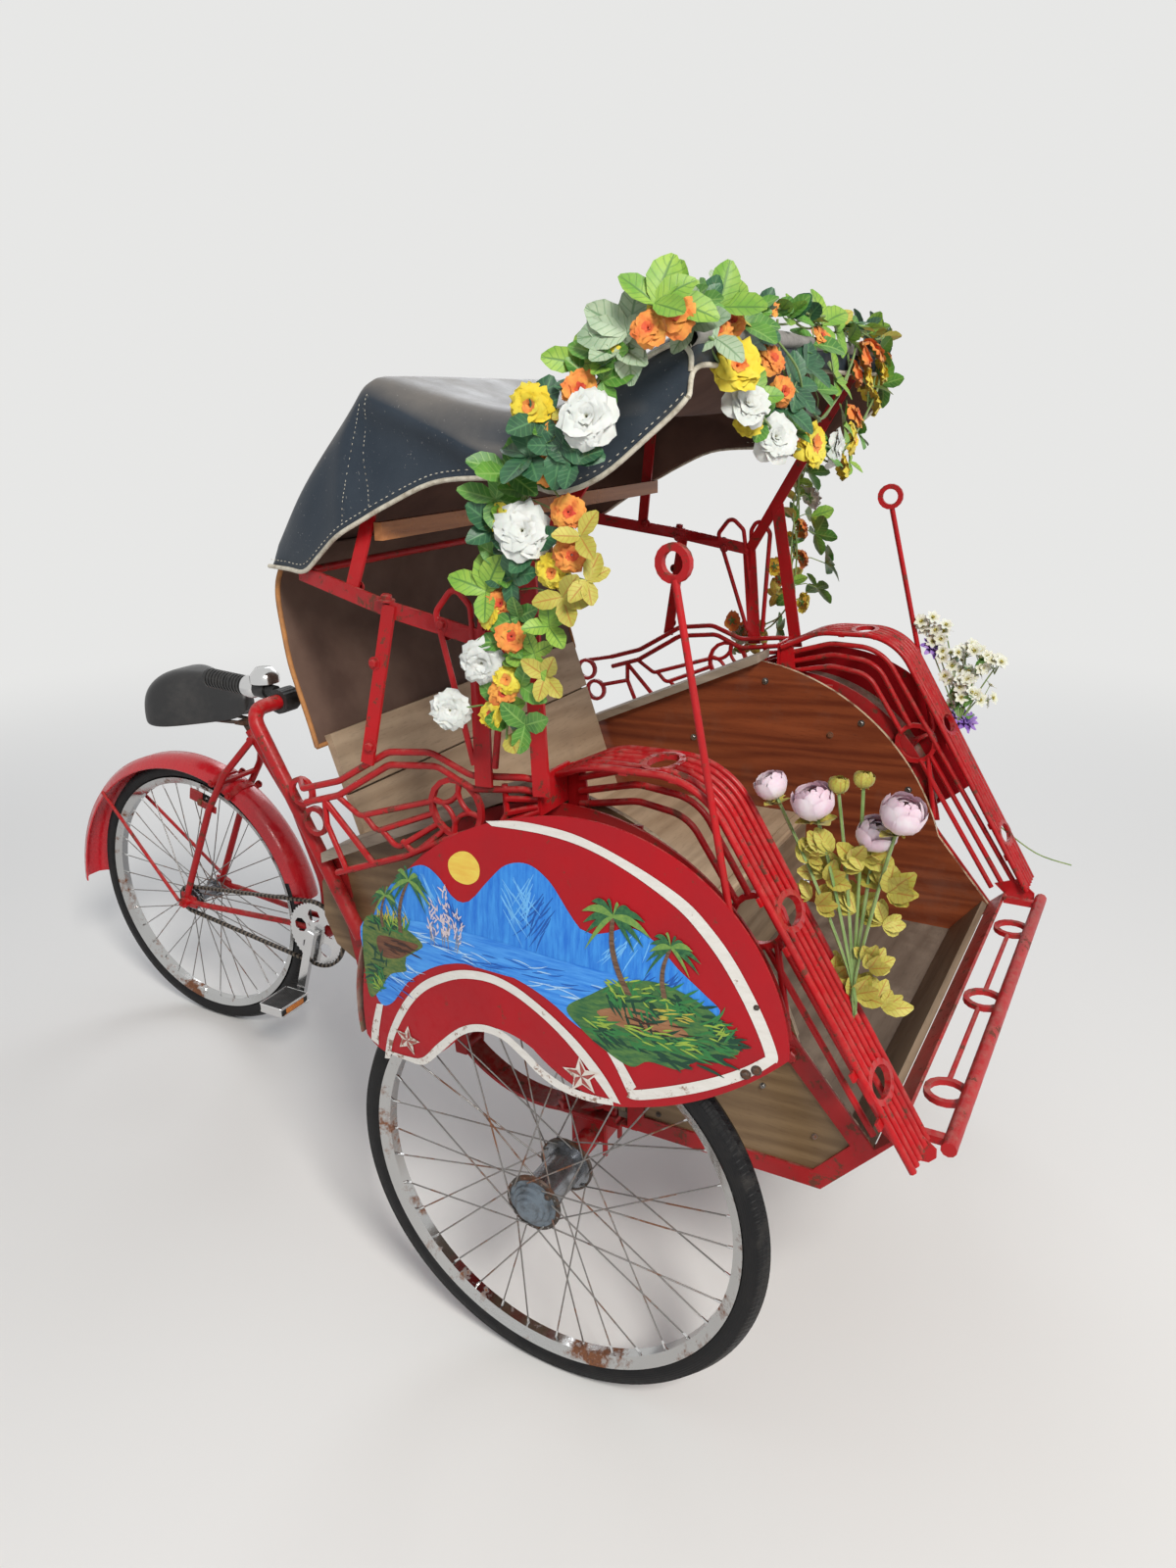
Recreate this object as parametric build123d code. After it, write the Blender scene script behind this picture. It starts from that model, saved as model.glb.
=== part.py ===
"""Cycle rickshaw with a passenger cabin between two front wheels and a pedalled rear wheel.

Sizes are in millimetres. While the pieces are made, the origin is on the floor under the
front axle, with +Z up, the cabin facing -Y, +X its left side and -X its right side.
Each piece is moved along Y at the end, so that the origin is under the middle of the whole.
"""

from build123d import *
import os
from math import atan2, cos, degrees, hypot, radians, sin, tan

# Wheels
FRONT_WHEEL_R = 355.0      # outside of the 28 inch tyre
REAR_WHEEL_R = 345.0
TRACK = 1115.0             # between the middle planes of the front wheels
WHEELBASE = 1346.0         # front axle to rear axle
TYRE_R = 19.0              # radius of the tyre's section
FRONT_TYRE_DEPTH = 33.0    # tread to the rim's edge
REAR_TYRE_DEPTH = 36.0
RIM_WIDTH = 34.0
RIM_DEPTH = 17.0
RIM_SHEET = 3.0
SPOKE_R = 1.3
SPOKES_A_SIDE = 18
SPOKE_TWIST = 60.0         # degrees between a spoke's ends, seen along the axle
SPOKE_LEAN = 0.06          # share of the flange's offset that a spoke loses beside the flange
SEAT_GAP = 0.3             # between pieces that rest on each other

# Front hubs and axle
SPINDLE_R = 10.0
RUNNING_GAP = 0.06
AXLE_R = 17.0
AXLE_Z = FRONT_WHEEL_R
FLANGE_OFFSET = 50.0       # flange to the wheel's middle plane
FLANGE_R = 44.0
FLANGE_T = 4.0
HUB_BARREL_R = 30.0
HUB_CAP_REACH = 20.0
SPOKE_CIRCLE_R = 38.0

# Cabin box
PANEL_X = 450.0            # outside of the plywood sides
PLY_T = 9.0
BOARD_T = 18.0
IRON_T = 4.0               # thickness of the angle and flat iron
FRAME_W = 28.0             # width of the angle iron's legs
FLOOR_Z = 420.0
FOOT_REAR_Y = -85.0
FOOT_TOE_Y = -392.0
TOE_Z = 503.0              # where the floor's slope ends
TOE_Y = -465.0
KNEE_Y = -352.0            # where the side's arch meets its straight front edge
KNEE_Z = 636.0
ARCH_Y = 130.0             # centre and radius of the side's arched edge
ARCH_Z = 480.0
ARCH_R = 508.0
APEX_Y = 45.0
APEX_Z = 970.0
ARM_REAR_Y = 470.0
ARM_REAR_Z = 778.0
SIDE_REAR_Y = 512.0
SIDE_TAIL_Z = 575.0
SEAT_Z = 640.0             # top of the seat board
SEAT_FRONT_Y = -45.0
SEAT_REAR_Y = 371.5
BACK_BOTTOM_Y = 372.0
BACK_TOP_Y = 492.0
BACK_TOP_Z = 980.0
BACK_HALF_W = 415.0

# Mudguards over the front wheels
GUARD_Z = 600.0            # centre height of the arch
GUARD_R = 321.0
GUARD_T = 3.0
GUARD_X_IN = 466.0
HOOP_X = 470.0
SKIRT_X = TRACK / 2 + 64.5  # outside of the skirt at its fullest
SKIRT_DISH_R = 2400.0      # the sheet is dished to this radius, round the arch's centre
SKIRT_T = 3.0
GUARD_X_OUT = SKIRT_X - SKIRT_T - (GUARD_R + GUARD_T) ** 2 / (2 * SKIRT_DISH_R) - 0.5
HOOP_W = 28.0

# Rails
ROD_R = 5.0
RAIL_X_IN = 447.0
RAIL_X_MID = 93.0          # width of the bow rail at its widest
RAIL_X_BRACKET = 45.0
RAIL_X_TIP = 78.0
RAIL_RODS = 6
ARM_RAIL_X = 530.0
FLOWER_R = 44.0

# Bumper
BUMPER_Y = -562.0
BUMPER_Z = 536.0
BUMPER_R = 11.0
BUMPER_HALF = 445.0
BUMPER_RING_Y = -530.0
BUMPER_RING_R = 29.0

# Hood
HOOD_TOP_X = 452.0         # half width of the hood at its top and at its lower edge
HOOD_LOW_X = 520.0
HOOD_T = 6.0
BAR_W = 24.0

# Steering head and rear frame
HEAD_Y = 150.0             # steering axis
HEAD_LOW_Z = 395.0
HEAD_HIGH_Z = 505.0
HEAD_R = 24.0
KINGPIN_R = 12.0
CRANK_Y = WHEELBASE - 406.0
CRANK_Z = REAR_WHEEL_R - 5.0
TUBE_R = 16.0
SEAT_TOP_Y = CRANK_Y + 173.0  # saddle end of the seat tube
SEAT_TOP_Z = CRANK_Z + 463.0
STAY_X = 58.0
STAY_IN_X = 31.0           # chain stays beside the front of the tyre
STAY_R = 8.0
CHAIN_STAY_R = 7.0
REAR_GUARD_R = REAR_WHEEL_R + 25.0  # crown of the rear mudguard, front half
REAR_TAIL_R = REAR_WHEEL_R + 90.0   # and the rear half, on a lower centre
REAR_GUARD_W = 84.0
REAR_GUARD_END_W = 72.0    # narrowed beside the chain
REAR_TAIL_END = 4.7        # degrees above level where the tail ends

# Handle hoop
HANDLE_X = 467.2
HANDLE_R = 12.5
HANDLE_TOP_Y = 617.0
HANDLE_TOP_Z = 1019.0
HANDLE_FOOT_Y = 418.0
HANDLE_FOOT_Z = 641.0

# Chain drive
CHAIN_X = -44.0
CHAINRING_R = 82.0
SPROCKET_R = 34.0
CHAIN_T = 7.0
CRANK_LENGTH = 165.0

# The whole, from the bumper to the tail of the rear mudguard
FRONT_REACH = BUMPER_Y - BUMPER_R
REAR_REACH = WHEELBASE + REAR_TAIL_R * cos(radians(REAR_TAIL_END))
MIDDLE_Y = (FRONT_REACH + REAR_REACH) / 2


def side_view(points, x0, thickness):
    """A flat plate from an outline of (y, z) points, from x0 towards +X."""
    face = make_face(Plane.YZ * Polyline(*points, close=True))
    return Pos(x0, 0, 0) * extrude(face, thickness, dir=(1, 0, 0))


def bar_section(r):
    """Section of a bent or welded bar: six or ten flats with about the area of its circle."""
    return RegularPolygon(1.08 * r, 6) if r < 7 else RegularPolygon(1.03 * r, 10)


def rod(points, r=ROD_R, bend=20.0):
    """A bar through 3D points, bent to one radius at each corner."""
    path = Polyline(*points) if len(points) == 2 else FilletPolyline(*points, radius=bend)
    start = Plane(origin=path @ 0, z_dir=path % 0)
    return sweep(start * bar_section(r), path=path)


def rod_in_side(points, x, r=ROD_R, bend=20.0):
    """A round bar that lies in a plane across the vehicle, through (y, z) points."""
    return rod([(x, y, z) for y, z in points], r, bend)


def bar(p, q, width, thickness, across=(1, 0, 0)):
    """A flat bar from p to q, with its thickness along the direction across."""
    p, q = Vector(*p), Vector(*q)
    plane = Plane(origin=(p + q) / 2, x_dir=across, z_dir=q - p)
    return plane * Box(thickness, width, (q - p).length)


def oval(across, along, sides=16):
    """A closed polygon on an ellipse, in the XY plane."""
    turns = [radians(360 * (i + 0.5) / sides) for i in range(sides)]
    return make_face(Polyline(*[(across * cos(t), along * sin(t)) for t in turns], close=True))


def flat_ring(across, along, r, sides=16):
    """A ring of bar with a square section, round the Z axis."""
    side = 0.9 * r
    band = oval(across + side, along + side, sides) - oval(across - side, along - side, sides)
    return extrude(band, side, both=True)


def ring_in_side(y, z, x, ring_r, r=ROD_R):
    """A ring that lies in a plane across the vehicle."""
    return Plane(origin=(x, y, z), z_dir=(1, 0, 0)) * flat_ring(ring_r, ring_r, r)


def tube_between(p, q, r):
    """A straight tube from p to q, on flats."""
    p, q = Vector(*p), Vector(*q)
    plane = Plane(origin=p, z_dir=q - p)
    return extrude(plane * bar_section(r), (q - p).length, dir=q - p)


def round_bar(p, q, r):
    """A straight round bar from p to q, for what turns in a bore."""
    p, q = Vector(*p), Vector(*q)
    return Plane(origin=(p + q) / 2, z_dir=q - p) * Cylinder(r, (q - p).length)


def turned(points):
    """A solid turned about the X axis from (x, r) points."""
    face = make_face(Plane.XZ * Polyline(*points, close=True))
    return revolve(face, Axis.X, 360)


def arch_band(y0, z0, r0, r1, first, last, x0, depth):
    """A band between two arcs, extruded across."""
    mid = radians((first + last) / 2)
    a, b = radians(first), radians(last)
    outer = ThreePointArc(*[(y0 + r1 * cos(t), z0 + r1 * sin(t)) for t in (a, mid, b)])
    inner = ThreePointArc(*[(y0 + r0 * cos(t), z0 + r0 * sin(t)) for t in (b, mid, a)])
    edges = Curve() + [outer, Line(outer @ 1, inner @ 0), inner, Line(inner @ 1, outer @ 0)]
    return Pos(x0, 0, 0) * extrude(make_face(Plane.YZ * edges), depth, dir=(1, 0, 0))


def both_sides(piece):
    """The piece and its mirror image in the middle plane."""
    return [piece, mirror(piece, about=Plane.YZ)]


nodes = {}


def keep(name, *pieces):
    """Stores the solids of one node."""
    solids = []
    for piece in pieces:
        solids += piece.solids()
    nodes[name] = solids


# Wheels


def tyre(wheel_r, depth):
    edge_r = wheel_r - depth
    middle_r = wheel_r - TYRE_R
    flats = 6
    corner_r = TYRE_R / cos(radians(180 / flats))
    section = Plane.XZ * Pos(0, middle_r) * Rot(0, 0, 180 / flats) * RegularPolygon(corner_r, flats)
    ring = revolve(section, Axis.X, 360)
    bed = Rot(0, 90, 0) * Cylinder(edge_r - RIM_SHEET + SEAT_GAP, 3 * TYRE_R)
    return ring - bed


def rim(wheel_r, depth):
    edge_r = wheel_r - depth
    half = RIM_WIDTH / 2
    bed_r = edge_r - RIM_SHEET
    inner_r = edge_r - RIM_DEPTH
    return turned([
        (-half, edge_r), (-half + 8, inner_r), (half - 8, inner_r), (half, edge_r),
        (half - RIM_SHEET, bed_r), (-half + RIM_SHEET, bed_r),
    ])


def spokes(inner_r, circle_r, flange_x):
    """Crossed spokes from both flanges to the rim."""
    made = []
    step = 360 / SPOKES_A_SIDE
    side_step = SPOKE_R + SEAT_GAP + FLANGE_T / 2
    for side in (-1, 1):
        for i in range(SPOKES_A_SIDE):
            lean = 1 if i % 2 == 0 else -1
            hub_angle = radians(i * step + (side + 1) * step / 4)
            rim_angle = hub_angle + lean * radians(SPOKE_TWIST)
            outside = side_step + SPOKE_LEAN * flange_x
            hub_x = side * (flange_x + (outside if lean > 0 else -side_step))
            hub_end = (hub_x, circle_r * cos(hub_angle), circle_r * sin(hub_angle))
            rim_r = inner_r - SEAT_GAP
            rim_end = (0.0, rim_r * cos(rim_angle), rim_r * sin(rim_angle))
            start = Vector(*hub_end)
            run = Vector(*rim_end) - start
            plane = Plane(origin=start, z_dir=run)
            made.append(extrude(plane * RegularPolygon(SPOKE_R, 6), run.length, dir=run))
    return made


def front_hub():
    """The wide-flanged hub, its axle hole open to the inside. The cap is towards +X."""
    bore = SPINDLE_R + RUNNING_GAP
    near = FLANGE_OFFSET - FLANGE_T / 2
    far = FLANGE_OFFSET + FLANGE_T / 2
    cap = far + HUB_CAP_REACH
    return turned([
        (-far, bore), (-far, FLANGE_R), (-near, FLANGE_R), (-near, HUB_BARREL_R),
        (near, HUB_BARREL_R), (near, FLANGE_R), (far, FLANGE_R), (far, 22.0),
        (cap, 14.0), (cap, 0.0), (cap - 6, 0.0), (cap - 6, bore),
    ])


for side_name, side in (("left", 1), ("right", -1)):
    at_wheel = Pos(side * TRACK / 2, 0, AXLE_Z)
    outward = at_wheel * Rot(0, 0, 0 if side > 0 else 180)
    keep("tyre_" + side_name, at_wheel * tyre(FRONT_WHEEL_R, FRONT_TYRE_DEPTH))
    keep("rim_" + side_name, at_wheel * rim(FRONT_WHEEL_R, FRONT_TYRE_DEPTH))
    rim_inner_r = FRONT_WHEEL_R - FRONT_TYRE_DEPTH - RIM_DEPTH
    laced = spokes(rim_inner_r, SPOKE_CIRCLE_R, FLANGE_OFFSET)
    keep("spokes_" + side_name, *[at_wheel * one for one in laced])
    keep("hub_" + side_name, outward * front_hub())

REAR_FLANGE_X = 30.0
REAR_CIRCLE_R = 21.0
REAR_AXLE_R = 5.0
at_rear = Pos(0, WHEELBASE, REAR_WHEEL_R)
keep("tyre_rear", at_rear * tyre(REAR_WHEEL_R, REAR_TYRE_DEPTH))
keep("rim_rear", at_rear * rim(REAR_WHEEL_R, REAR_TYRE_DEPTH))
rear_inner_r = REAR_WHEEL_R - REAR_TYRE_DEPTH - RIM_DEPTH
keep("spokes_rear", *[at_rear * s for s in spokes(rear_inner_r, REAR_CIRCLE_R, REAR_FLANGE_X)])


def toothed(tip_r, root_r, teeth, thickness, x):
    """A chain wheel in the plane at x."""
    points = []
    for i in range(teeth):
        for r, share in ((root_r, 0.0), (root_r, 0.35), (tip_r, 0.55), (tip_r, 0.8)):
            angle = radians(360 * (i + share) / teeth)
            points.append((r * cos(angle), r * sin(angle)))
    return side_view(points, x - thickness / 2, thickness)


TOOTH_GAP = 0.8
rear_bore = REAR_AXLE_R + RUNNING_GAP
rear_near = REAR_FLANGE_X - FLANGE_T / 2
rear_far = REAR_FLANGE_X + FLANGE_T / 2
rear_hub = turned([
    (-47.0, rear_bore), (-47.0, 14.0), (-rear_far, 14.0), (-rear_far, 26.0), (-rear_near, 26.0),
    (-rear_near, 17.0), (rear_near, 17.0), (rear_near, 26.0), (rear_far, 26.0),
    (rear_far, 14.0), (40.0, 14.0), (40.0, rear_bore),
])
sprocket = toothed(SPROCKET_R - CHAIN_T / 2 - TOOTH_GAP, SPROCKET_R - CHAIN_T, 18, 3.0, CHAIN_X)
sprocket -= Rot(0, 90, 0) * Cylinder(rear_bore, 200)
keep("hub_rear", at_rear * (rear_hub + sprocket))

# Front axle and springs

axle = tube_between((-TRACK / 2 + 62, 0, AXLE_Z), (TRACK / 2 - 62, 0, AXLE_Z), AXLE_R)
spindle_end = TRACK / 2 + FLANGE_OFFSET + 8
spindle = round_bar((-spindle_end, 0, AXLE_Z), (spindle_end, 0, AXLE_Z), SPINDLE_R)
collars = []
for side in (-1, 1):
    inner = side * (TRACK / 2 - FLANGE_OFFSET - FLANGE_T / 2 - 6)
    collars.append(tube_between((inner, 0, AXLE_Z), (inner + side * 5, 0, AXLE_Z), 15.0))
keep("front_axle", axle + spindle + collars[0] + collars[1])

SPRING_X = 405.0
SPRING_W = 45.0
LEAF_T = 6.0
SPRING_FRONT = (-38.0, 432.0)
SPRING_REAR = (250.0, 456.0)
SADDLE_TOP = AXLE_Z + AXLE_R + 12.0


def leaf(front, rear, drop):
    """One curved spring leaf in the YZ plane."""
    middle = ((front[0] + rear[0]) / 2 - 40, SADDLE_TOP - drop)
    upper = ThreePointArc((front[0], front[1] - drop), (middle[0], middle[1] + LEAF_T),
                          (rear[0], rear[1] - drop))
    lower = ThreePointArc((rear[0], rear[1] - drop - LEAF_T), middle,
                          (front[0], front[1] - drop - LEAF_T))
    outline = Curve() + [upper, Line(upper @ 1, lower @ 0), lower, Line(lower @ 1, upper @ 0)]
    return extrude(make_face(Plane.YZ * outline), SPRING_W / 2, both=True)


def spring():
    """Leaf spring with eyes, clamped on the axle by a seat and two U bolts."""
    main = leaf(SPRING_FRONT, SPRING_REAR, 0.0)
    seat_low = AXLE_Z
    seat = Pos(0, 0, (seat_low + SADDLE_TOP + 8) / 2) * Box(SPRING_W + 14, 60, SADDLE_TOP + 8 - seat_low)
    seat -= tube_between((-50, 0, AXLE_Z), (50, 0, AXLE_Z), AXLE_R + 0.8)
    eyes = [tube_between((-SPRING_W / 2, y, z - LEAF_T / 2), (SPRING_W / 2, y, z - LEAF_T / 2), 11.0)
            for y, z in (SPRING_FRONT, SPRING_REAR)]
    return main + seat + eyes[0] + eyes[1]


keep("springs", Pos(SPRING_X, 0, 0) * spring(), Pos(-SPRING_X, 0, 0) * spring())

# Cabin sides and boards

tail = [(SIDE_REAR_Y, 720.0), (SIDE_REAR_Y + 2, 655.0), (SIDE_REAR_Y - 20, 605.0),
        (440.0, SIDE_TAIL_Z), (390.0, 560.0)]
arch_start = Vector(KNEE_Y, KNEE_Z)
arch_end = Vector(APEX_Y, APEX_Z)
arch_mid = (ARCH_Y - ARCH_R * cos(radians(38)), ARCH_Z + ARCH_R * sin(radians(38)))


def side_outline():
    """Edge of a plywood side, in (y, z)."""
    arch = ThreePointArc((KNEE_Y, KNEE_Z), arch_mid, (APEX_Y, APEX_Z))
    rest = Polyline(
        (APEX_Y, APEX_Z), (ARM_REAR_Y, ARM_REAR_Z), *tail,
        (FOOT_REAR_Y, 560.0), (FOOT_REAR_Y, FLOOR_Z), (FOOT_TOE_Y, FLOOR_Z), (TOE_Y, TOE_Z),
        (KNEE_Y, KNEE_Z),
    )
    return make_face(Plane.YZ * (Curve() + [arch, rest]))


side_panel = Pos(PANEL_X - PLY_T, 0, 0) * extrude(side_outline(), PLY_T, dir=(1, 0, 0))
for side_name, panel in zip(("left", "right"), both_sides(side_panel)):
    keep("side_panel_" + side_name, panel)

inside = PANEL_X - PLY_T - SEAT_GAP
floor = Pos(0, (FOOT_REAR_Y + FOOT_TOE_Y) / 2, FLOOR_Z + 7) * Box(
    2 * inside, FOOT_REAR_Y - FOOT_TOE_Y, 12.0)
keep("floor_board", floor)

slope = side_view([
    (FOOT_TOE_Y - 1, FLOOR_Z + 1), (TOE_Y + 3, TOE_Z + 1), (TOE_Y + 13, TOE_Z + 8),
    (FOOT_TOE_Y - 1, FLOOR_Z + 16),
], -inside, 2 * inside)
keep("slope_board", slope)

seat = Pos(0, (SEAT_FRONT_Y + SEAT_REAR_Y) / 2, SEAT_Z - BOARD_T / 2) * Box(
    2 * inside, SEAT_REAR_Y - SEAT_FRONT_Y, BOARD_T)
keep("seat_board", seat)

riser_low = FLOOR_Z + 13 + SEAT_GAP
riser_high = SEAT_Z - BOARD_T - SEAT_GAP
riser = Pos(0, SEAT_FRONT_Y - 20, (riser_low + riser_high) / 2) * Box(2 * inside, 12.0, riser_high - riser_low)
keep("seat_riser", riser)

back_low_z = SEAT_Z - BOARD_T
lean = atan2(BACK_TOP_Y - BACK_BOTTOM_Y, BACK_TOP_Z - back_low_z)
split = 0.72


def back_point(share, out):
    """A point on the backrest, at a share of its height and a distance behind its front."""
    y = BACK_BOTTOM_Y + share * (BACK_TOP_Y - BACK_BOTTOM_Y)
    z = back_low_z + share * (BACK_TOP_Z - back_low_z)
    return (y + out * cos(lean), z - out * sin(lean) + (out * sin(lean) if share == 0 else 0))


battens = []
for x in (-300.0, 270.0):
    battens.append(side_view([
        back_point(0.02, 13), back_point(0.02, 24), back_point(0.90, 24), back_point(0.90, 13)], x, 30.0))
back_lower = side_view([
    back_point(0, 0), back_point(0, 14), back_point(split - 0.005, 14), back_point(split - 0.005, 0),
], -BACK_HALF_W, 2 * BACK_HALF_W)
back_upper = side_view([
    back_point(split + 0.005, 0), back_point(split + 0.005, 14), back_point(1, 14), back_point(1, 0),
], -BACK_HALF_W, 2 * BACK_HALF_W)
keep("backrest", back_lower + back_upper + battens[0] + battens[1])

arm_slope = (APEX_Z - ARM_REAR_Z) / (APEX_Y - ARM_REAR_Y)
arm_board = side_view([
    (APEX_Y, APEX_Z + SEAT_GAP), (ARM_REAR_Y, ARM_REAR_Z + SEAT_GAP),
    (ARM_REAR_Y, ARM_REAR_Z + BOARD_T), (APEX_Y, APEX_Z + BOARD_T),
], 415.0, 75.0)
keep("arm_boards", *both_sides(arm_board))

# Cabin frame of angle and flat iron

FOOT_POINTS = [
    (FOOT_REAR_Y, 560.0), (FOOT_REAR_Y, FLOOR_Z), (FOOT_TOE_Y, FLOOR_Z), (TOE_Y, TOE_Z),
    (KNEE_Y, KNEE_Z),
]


def foot_frame():
    """Iron frame round the outside of the footwell's side, with a lip under the floor."""
    outer = side_view([
        (FOOT_REAR_Y + 3, 575.0), (FOOT_REAR_Y + 3, FLOOR_Z - IRON_T), (FOOT_TOE_Y - 1.5, FLOOR_Z - IRON_T),
        (TOE_Y - 5, TOE_Z - 1.5), (KNEE_Y - 4, KNEE_Z + 3), (KNEE_Y + 24, KNEE_Z + 40),
        (KNEE_Y + 46, KNEE_Z + 22), (KNEE_Y + 22, KNEE_Z - 14), (TOE_Y + 33, TOE_Z + 1),
        (FOOT_TOE_Y + 12, FLOOR_Z + 24), (FOOT_REAR_Y - 25, FLOOR_Z + 24), (FOOT_REAR_Y - 25, 575.0),
    ], PANEL_X + SEAT_GAP, IRON_T)
    lip_x = PANEL_X - FRAME_W
    lip = side_view([
        (FOOT_REAR_Y + 3, FLOOR_Z - IRON_T), (FOOT_TOE_Y - 1.5, FLOOR_Z - IRON_T),
        (TOE_Y - 5, TOE_Z - 1.5), (TOE_Y - 1, TOE_Z - 1), (FOOT_TOE_Y, FLOOR_Z - SEAT_GAP),
        (FOOT_REAR_Y + 3, FLOOR_Z - SEAT_GAP),
    ], lip_x, FRAME_W + SEAT_GAP + IRON_T)
    return outer + lip


CROSS_Z = 551.0            # bars under the seat
CROSS_YS = (-38.0, 90.0, 235.0)
GUARD_TABS = ((-1.0, 6.0), (104.0, 110.0))


def side_rails():
    """Rear half of a side: seat rail, tail upright and lower rail, outside the plywood."""
    x = PANEL_X + SEAT_GAP + IRON_T / 2
    low = bar((x, FOOT_REAR_Y - 10, CROSS_Z + 8), (x, 430, CROSS_Z + 14), 26, IRON_T)
    upright = bar((x, 432, 570), (x, 470, 775), 26, IRON_T)
    seat_rail = bar((x, FOOT_REAR_Y - 8, 612), (x, 446, 612), 24, IRON_T)
    front_post = bar((x, FOOT_REAR_Y - 11, 560), (x, FOOT_REAR_Y - 11, 930), 26, IRON_T)
    made = low + upright + seat_rail + front_post
    for first, last in GUARD_TABS:
        made += arch_band(0, GUARD_Z, GUARD_R - 5 - SEAT_GAP, GUARD_R - SEAT_GAP, first, last,
                          PANEL_X + SEAT_GAP, 40.0)
    # Hangers on both sides of the spring eyes
    for eye_y, eye_z in (SPRING_FRONT, SPRING_REAR):
        top_y = min(eye_y, CROSS_YS[2])
        for plate_x in (SPRING_X + SPRING_W / 2 + SEAT_GAP, SPRING_X - SPRING_W / 2 - SEAT_GAP - IRON_T):
            made += side_view([
                (eye_y - 11, eye_z - 15), (eye_y + 11, eye_z - 15), (eye_y + 13, eye_z + 6),
                (top_y + 14, CROSS_Z), (top_y - 14, CROSS_Z), (eye_y - 13, eye_z + 6)], plate_x, IRON_T)
    return made


def across(y, z, width, height, half=PANEL_X):
    """A bar across the cabin."""
    return Pos(0, y, z) * Box(2 * half, width, height)


frame_half = foot_frame() + side_rails()
cabin_frame = frame_half + mirror(frame_half, about=Plane.YZ)
cabin_frame += across(FOOT_REAR_Y + 1, FLOOR_Z - IRON_T / 2 - SEAT_GAP - 1, FRAME_W, IRON_T, PANEL_X + 4)
cabin_frame += side_view([
    (TOE_Y - 5, TOE_Z - 1.5), (TOE_Y - 1, TOE_Z - 1), (TOE_Y + 1, TOE_Z + 3.5),
    (TOE_Y - 26, TOE_Z + 30), (TOE_Y - 30, TOE_Z + 27),
], -PANEL_X - 4, 2 * PANEL_X + 8)

# Bars under the seat carry the springs and the steering head
for y in CROSS_YS:
    cabin_frame += across(y, CROSS_Z, 30, 8, PANEL_X + 4)
HEAD_PLATE_Z = CROSS_Z + 4
cabin_frame += Pos(0, HEAD_Y + 5, HEAD_PLATE_Z + 2) * Box(120, 160, 8)
kingpin = round_bar((0, HEAD_Y, HEAD_LOW_Z - 12), (0, HEAD_Y, HEAD_PLATE_Z), KINGPIN_R)
top_collar = tube_between((0, HEAD_Y, HEAD_HIGH_Z + 1), (0, HEAD_Y, HEAD_PLATE_Z), 22.0)
nut = Pos(0, HEAD_Y, HEAD_LOW_Z - 8) * extrude(RegularPolygon(19, 6), 7)
cabin_frame += kingpin + top_collar + nut
keep("cabin_frame", cabin_frame)

# Mudguards and painted skirts


GUARD_FIRST = -8.0
GUARD_LAST = 168.0
guard = arch_band(0, GUARD_Z, GUARD_R, GUARD_R + GUARD_T, GUARD_FIRST, GUARD_LAST,
                  GUARD_X_IN, GUARD_X_OUT - GUARD_X_IN)
hoop = arch_band(0, GUARD_Z, GUARD_R + GUARD_T + SEAT_GAP, GUARD_R + GUARD_T + HOOP_W, -6, 170,
                 HOOP_X, IRON_T)
for side_name, one in zip(("left", "right"), both_sides(guard)):
    keep("mudguard_" + side_name, one)
keep("guard_hoops", *both_sides(hoop))


def skirt():
    """Painted side sheet: rounded top, wavy lower edge round the wheel."""
    rear_top = ThreePointArc((304, 560), (232, 822), (0, 972))
    front_top = ThreePointArc((0, 972), (-250, 932), (-381, 706))
    front_low = ThreePointArc((-381, 706), (-260, 618), (-143, 579))
    rise = ThreePointArc((-143, 579), (-70, 601), (-19, 636))
    crown = ThreePointArc((-19, 636), (37, 652), (98, 638))
    fall = ThreePointArc((98, 638), (165, 568), (252, 540))
    close = ThreePointArc((252, 540), (284, 545), (304, 560))
    edges = Curve() + [rear_top, front_top, front_low, rise, crown, fall, close]
    block = Pos(SKIRT_X - 60, 0, 0) * extrude(make_face(Plane.YZ * edges), 80, dir=(1, 0, 0))
    centre = Pos(SKIRT_X - SKIRT_DISH_R, 0, GUARD_Z)
    return block & (centre * Sphere(SKIRT_DISH_R) - centre * Sphere(SKIRT_DISH_R - SKIRT_T))


for side_name, one in zip(("left", "right"), both_sides(skirt())):
    keep("skirt_" + side_name, one)

# Bow rails at the front

RAIL_PATH = [(4.0, 1002.0), (-75.0, 1040.0), (-232.0, 1043.0), (-533.0, 545.0)]


def rail_x(place, share):
    """How far out a rod lies, by its place along the rail and its share of the width."""
    width = (RAIL_X_BRACKET, RAIL_X_MID, RAIL_X_MID, RAIL_X_TIP)[place]
    return RAIL_X_IN + share * width


def on_slope(share):
    """Point on the rail's straight front run."""
    (y0, z0), (y1, z1) = RAIL_PATH[2], RAIL_PATH[3]
    return y0 + share * (y1 - y0), z0 + share * (z1 - z0)


# Centre of each oval ring (y, z) and how much the rail slopes there, in degrees
slope_angle = degrees(atan2(RAIL_PATH[2][1] - RAIL_PATH[3][1], RAIL_PATH[2][0] - RAIL_PATH[3][0]))
OVALS = [
    (-160.0, 1041.6, 0.0),
    (*on_slope(0.36), slope_angle),
    (*on_slope(0.80), slope_angle),
]
OVAL_ACROSS = 38.0          # middle of the oval rings' bar
OVAL_ALONG = 23.0
SIDE_RING_Y = -288.0
SIDE_RING_Z = 825.0
SIDE_RING_R = 38.0
SIDE_RAIL_X = PANEL_X + IRON_T + 2 * SEAT_GAP + ROD_R


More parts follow.
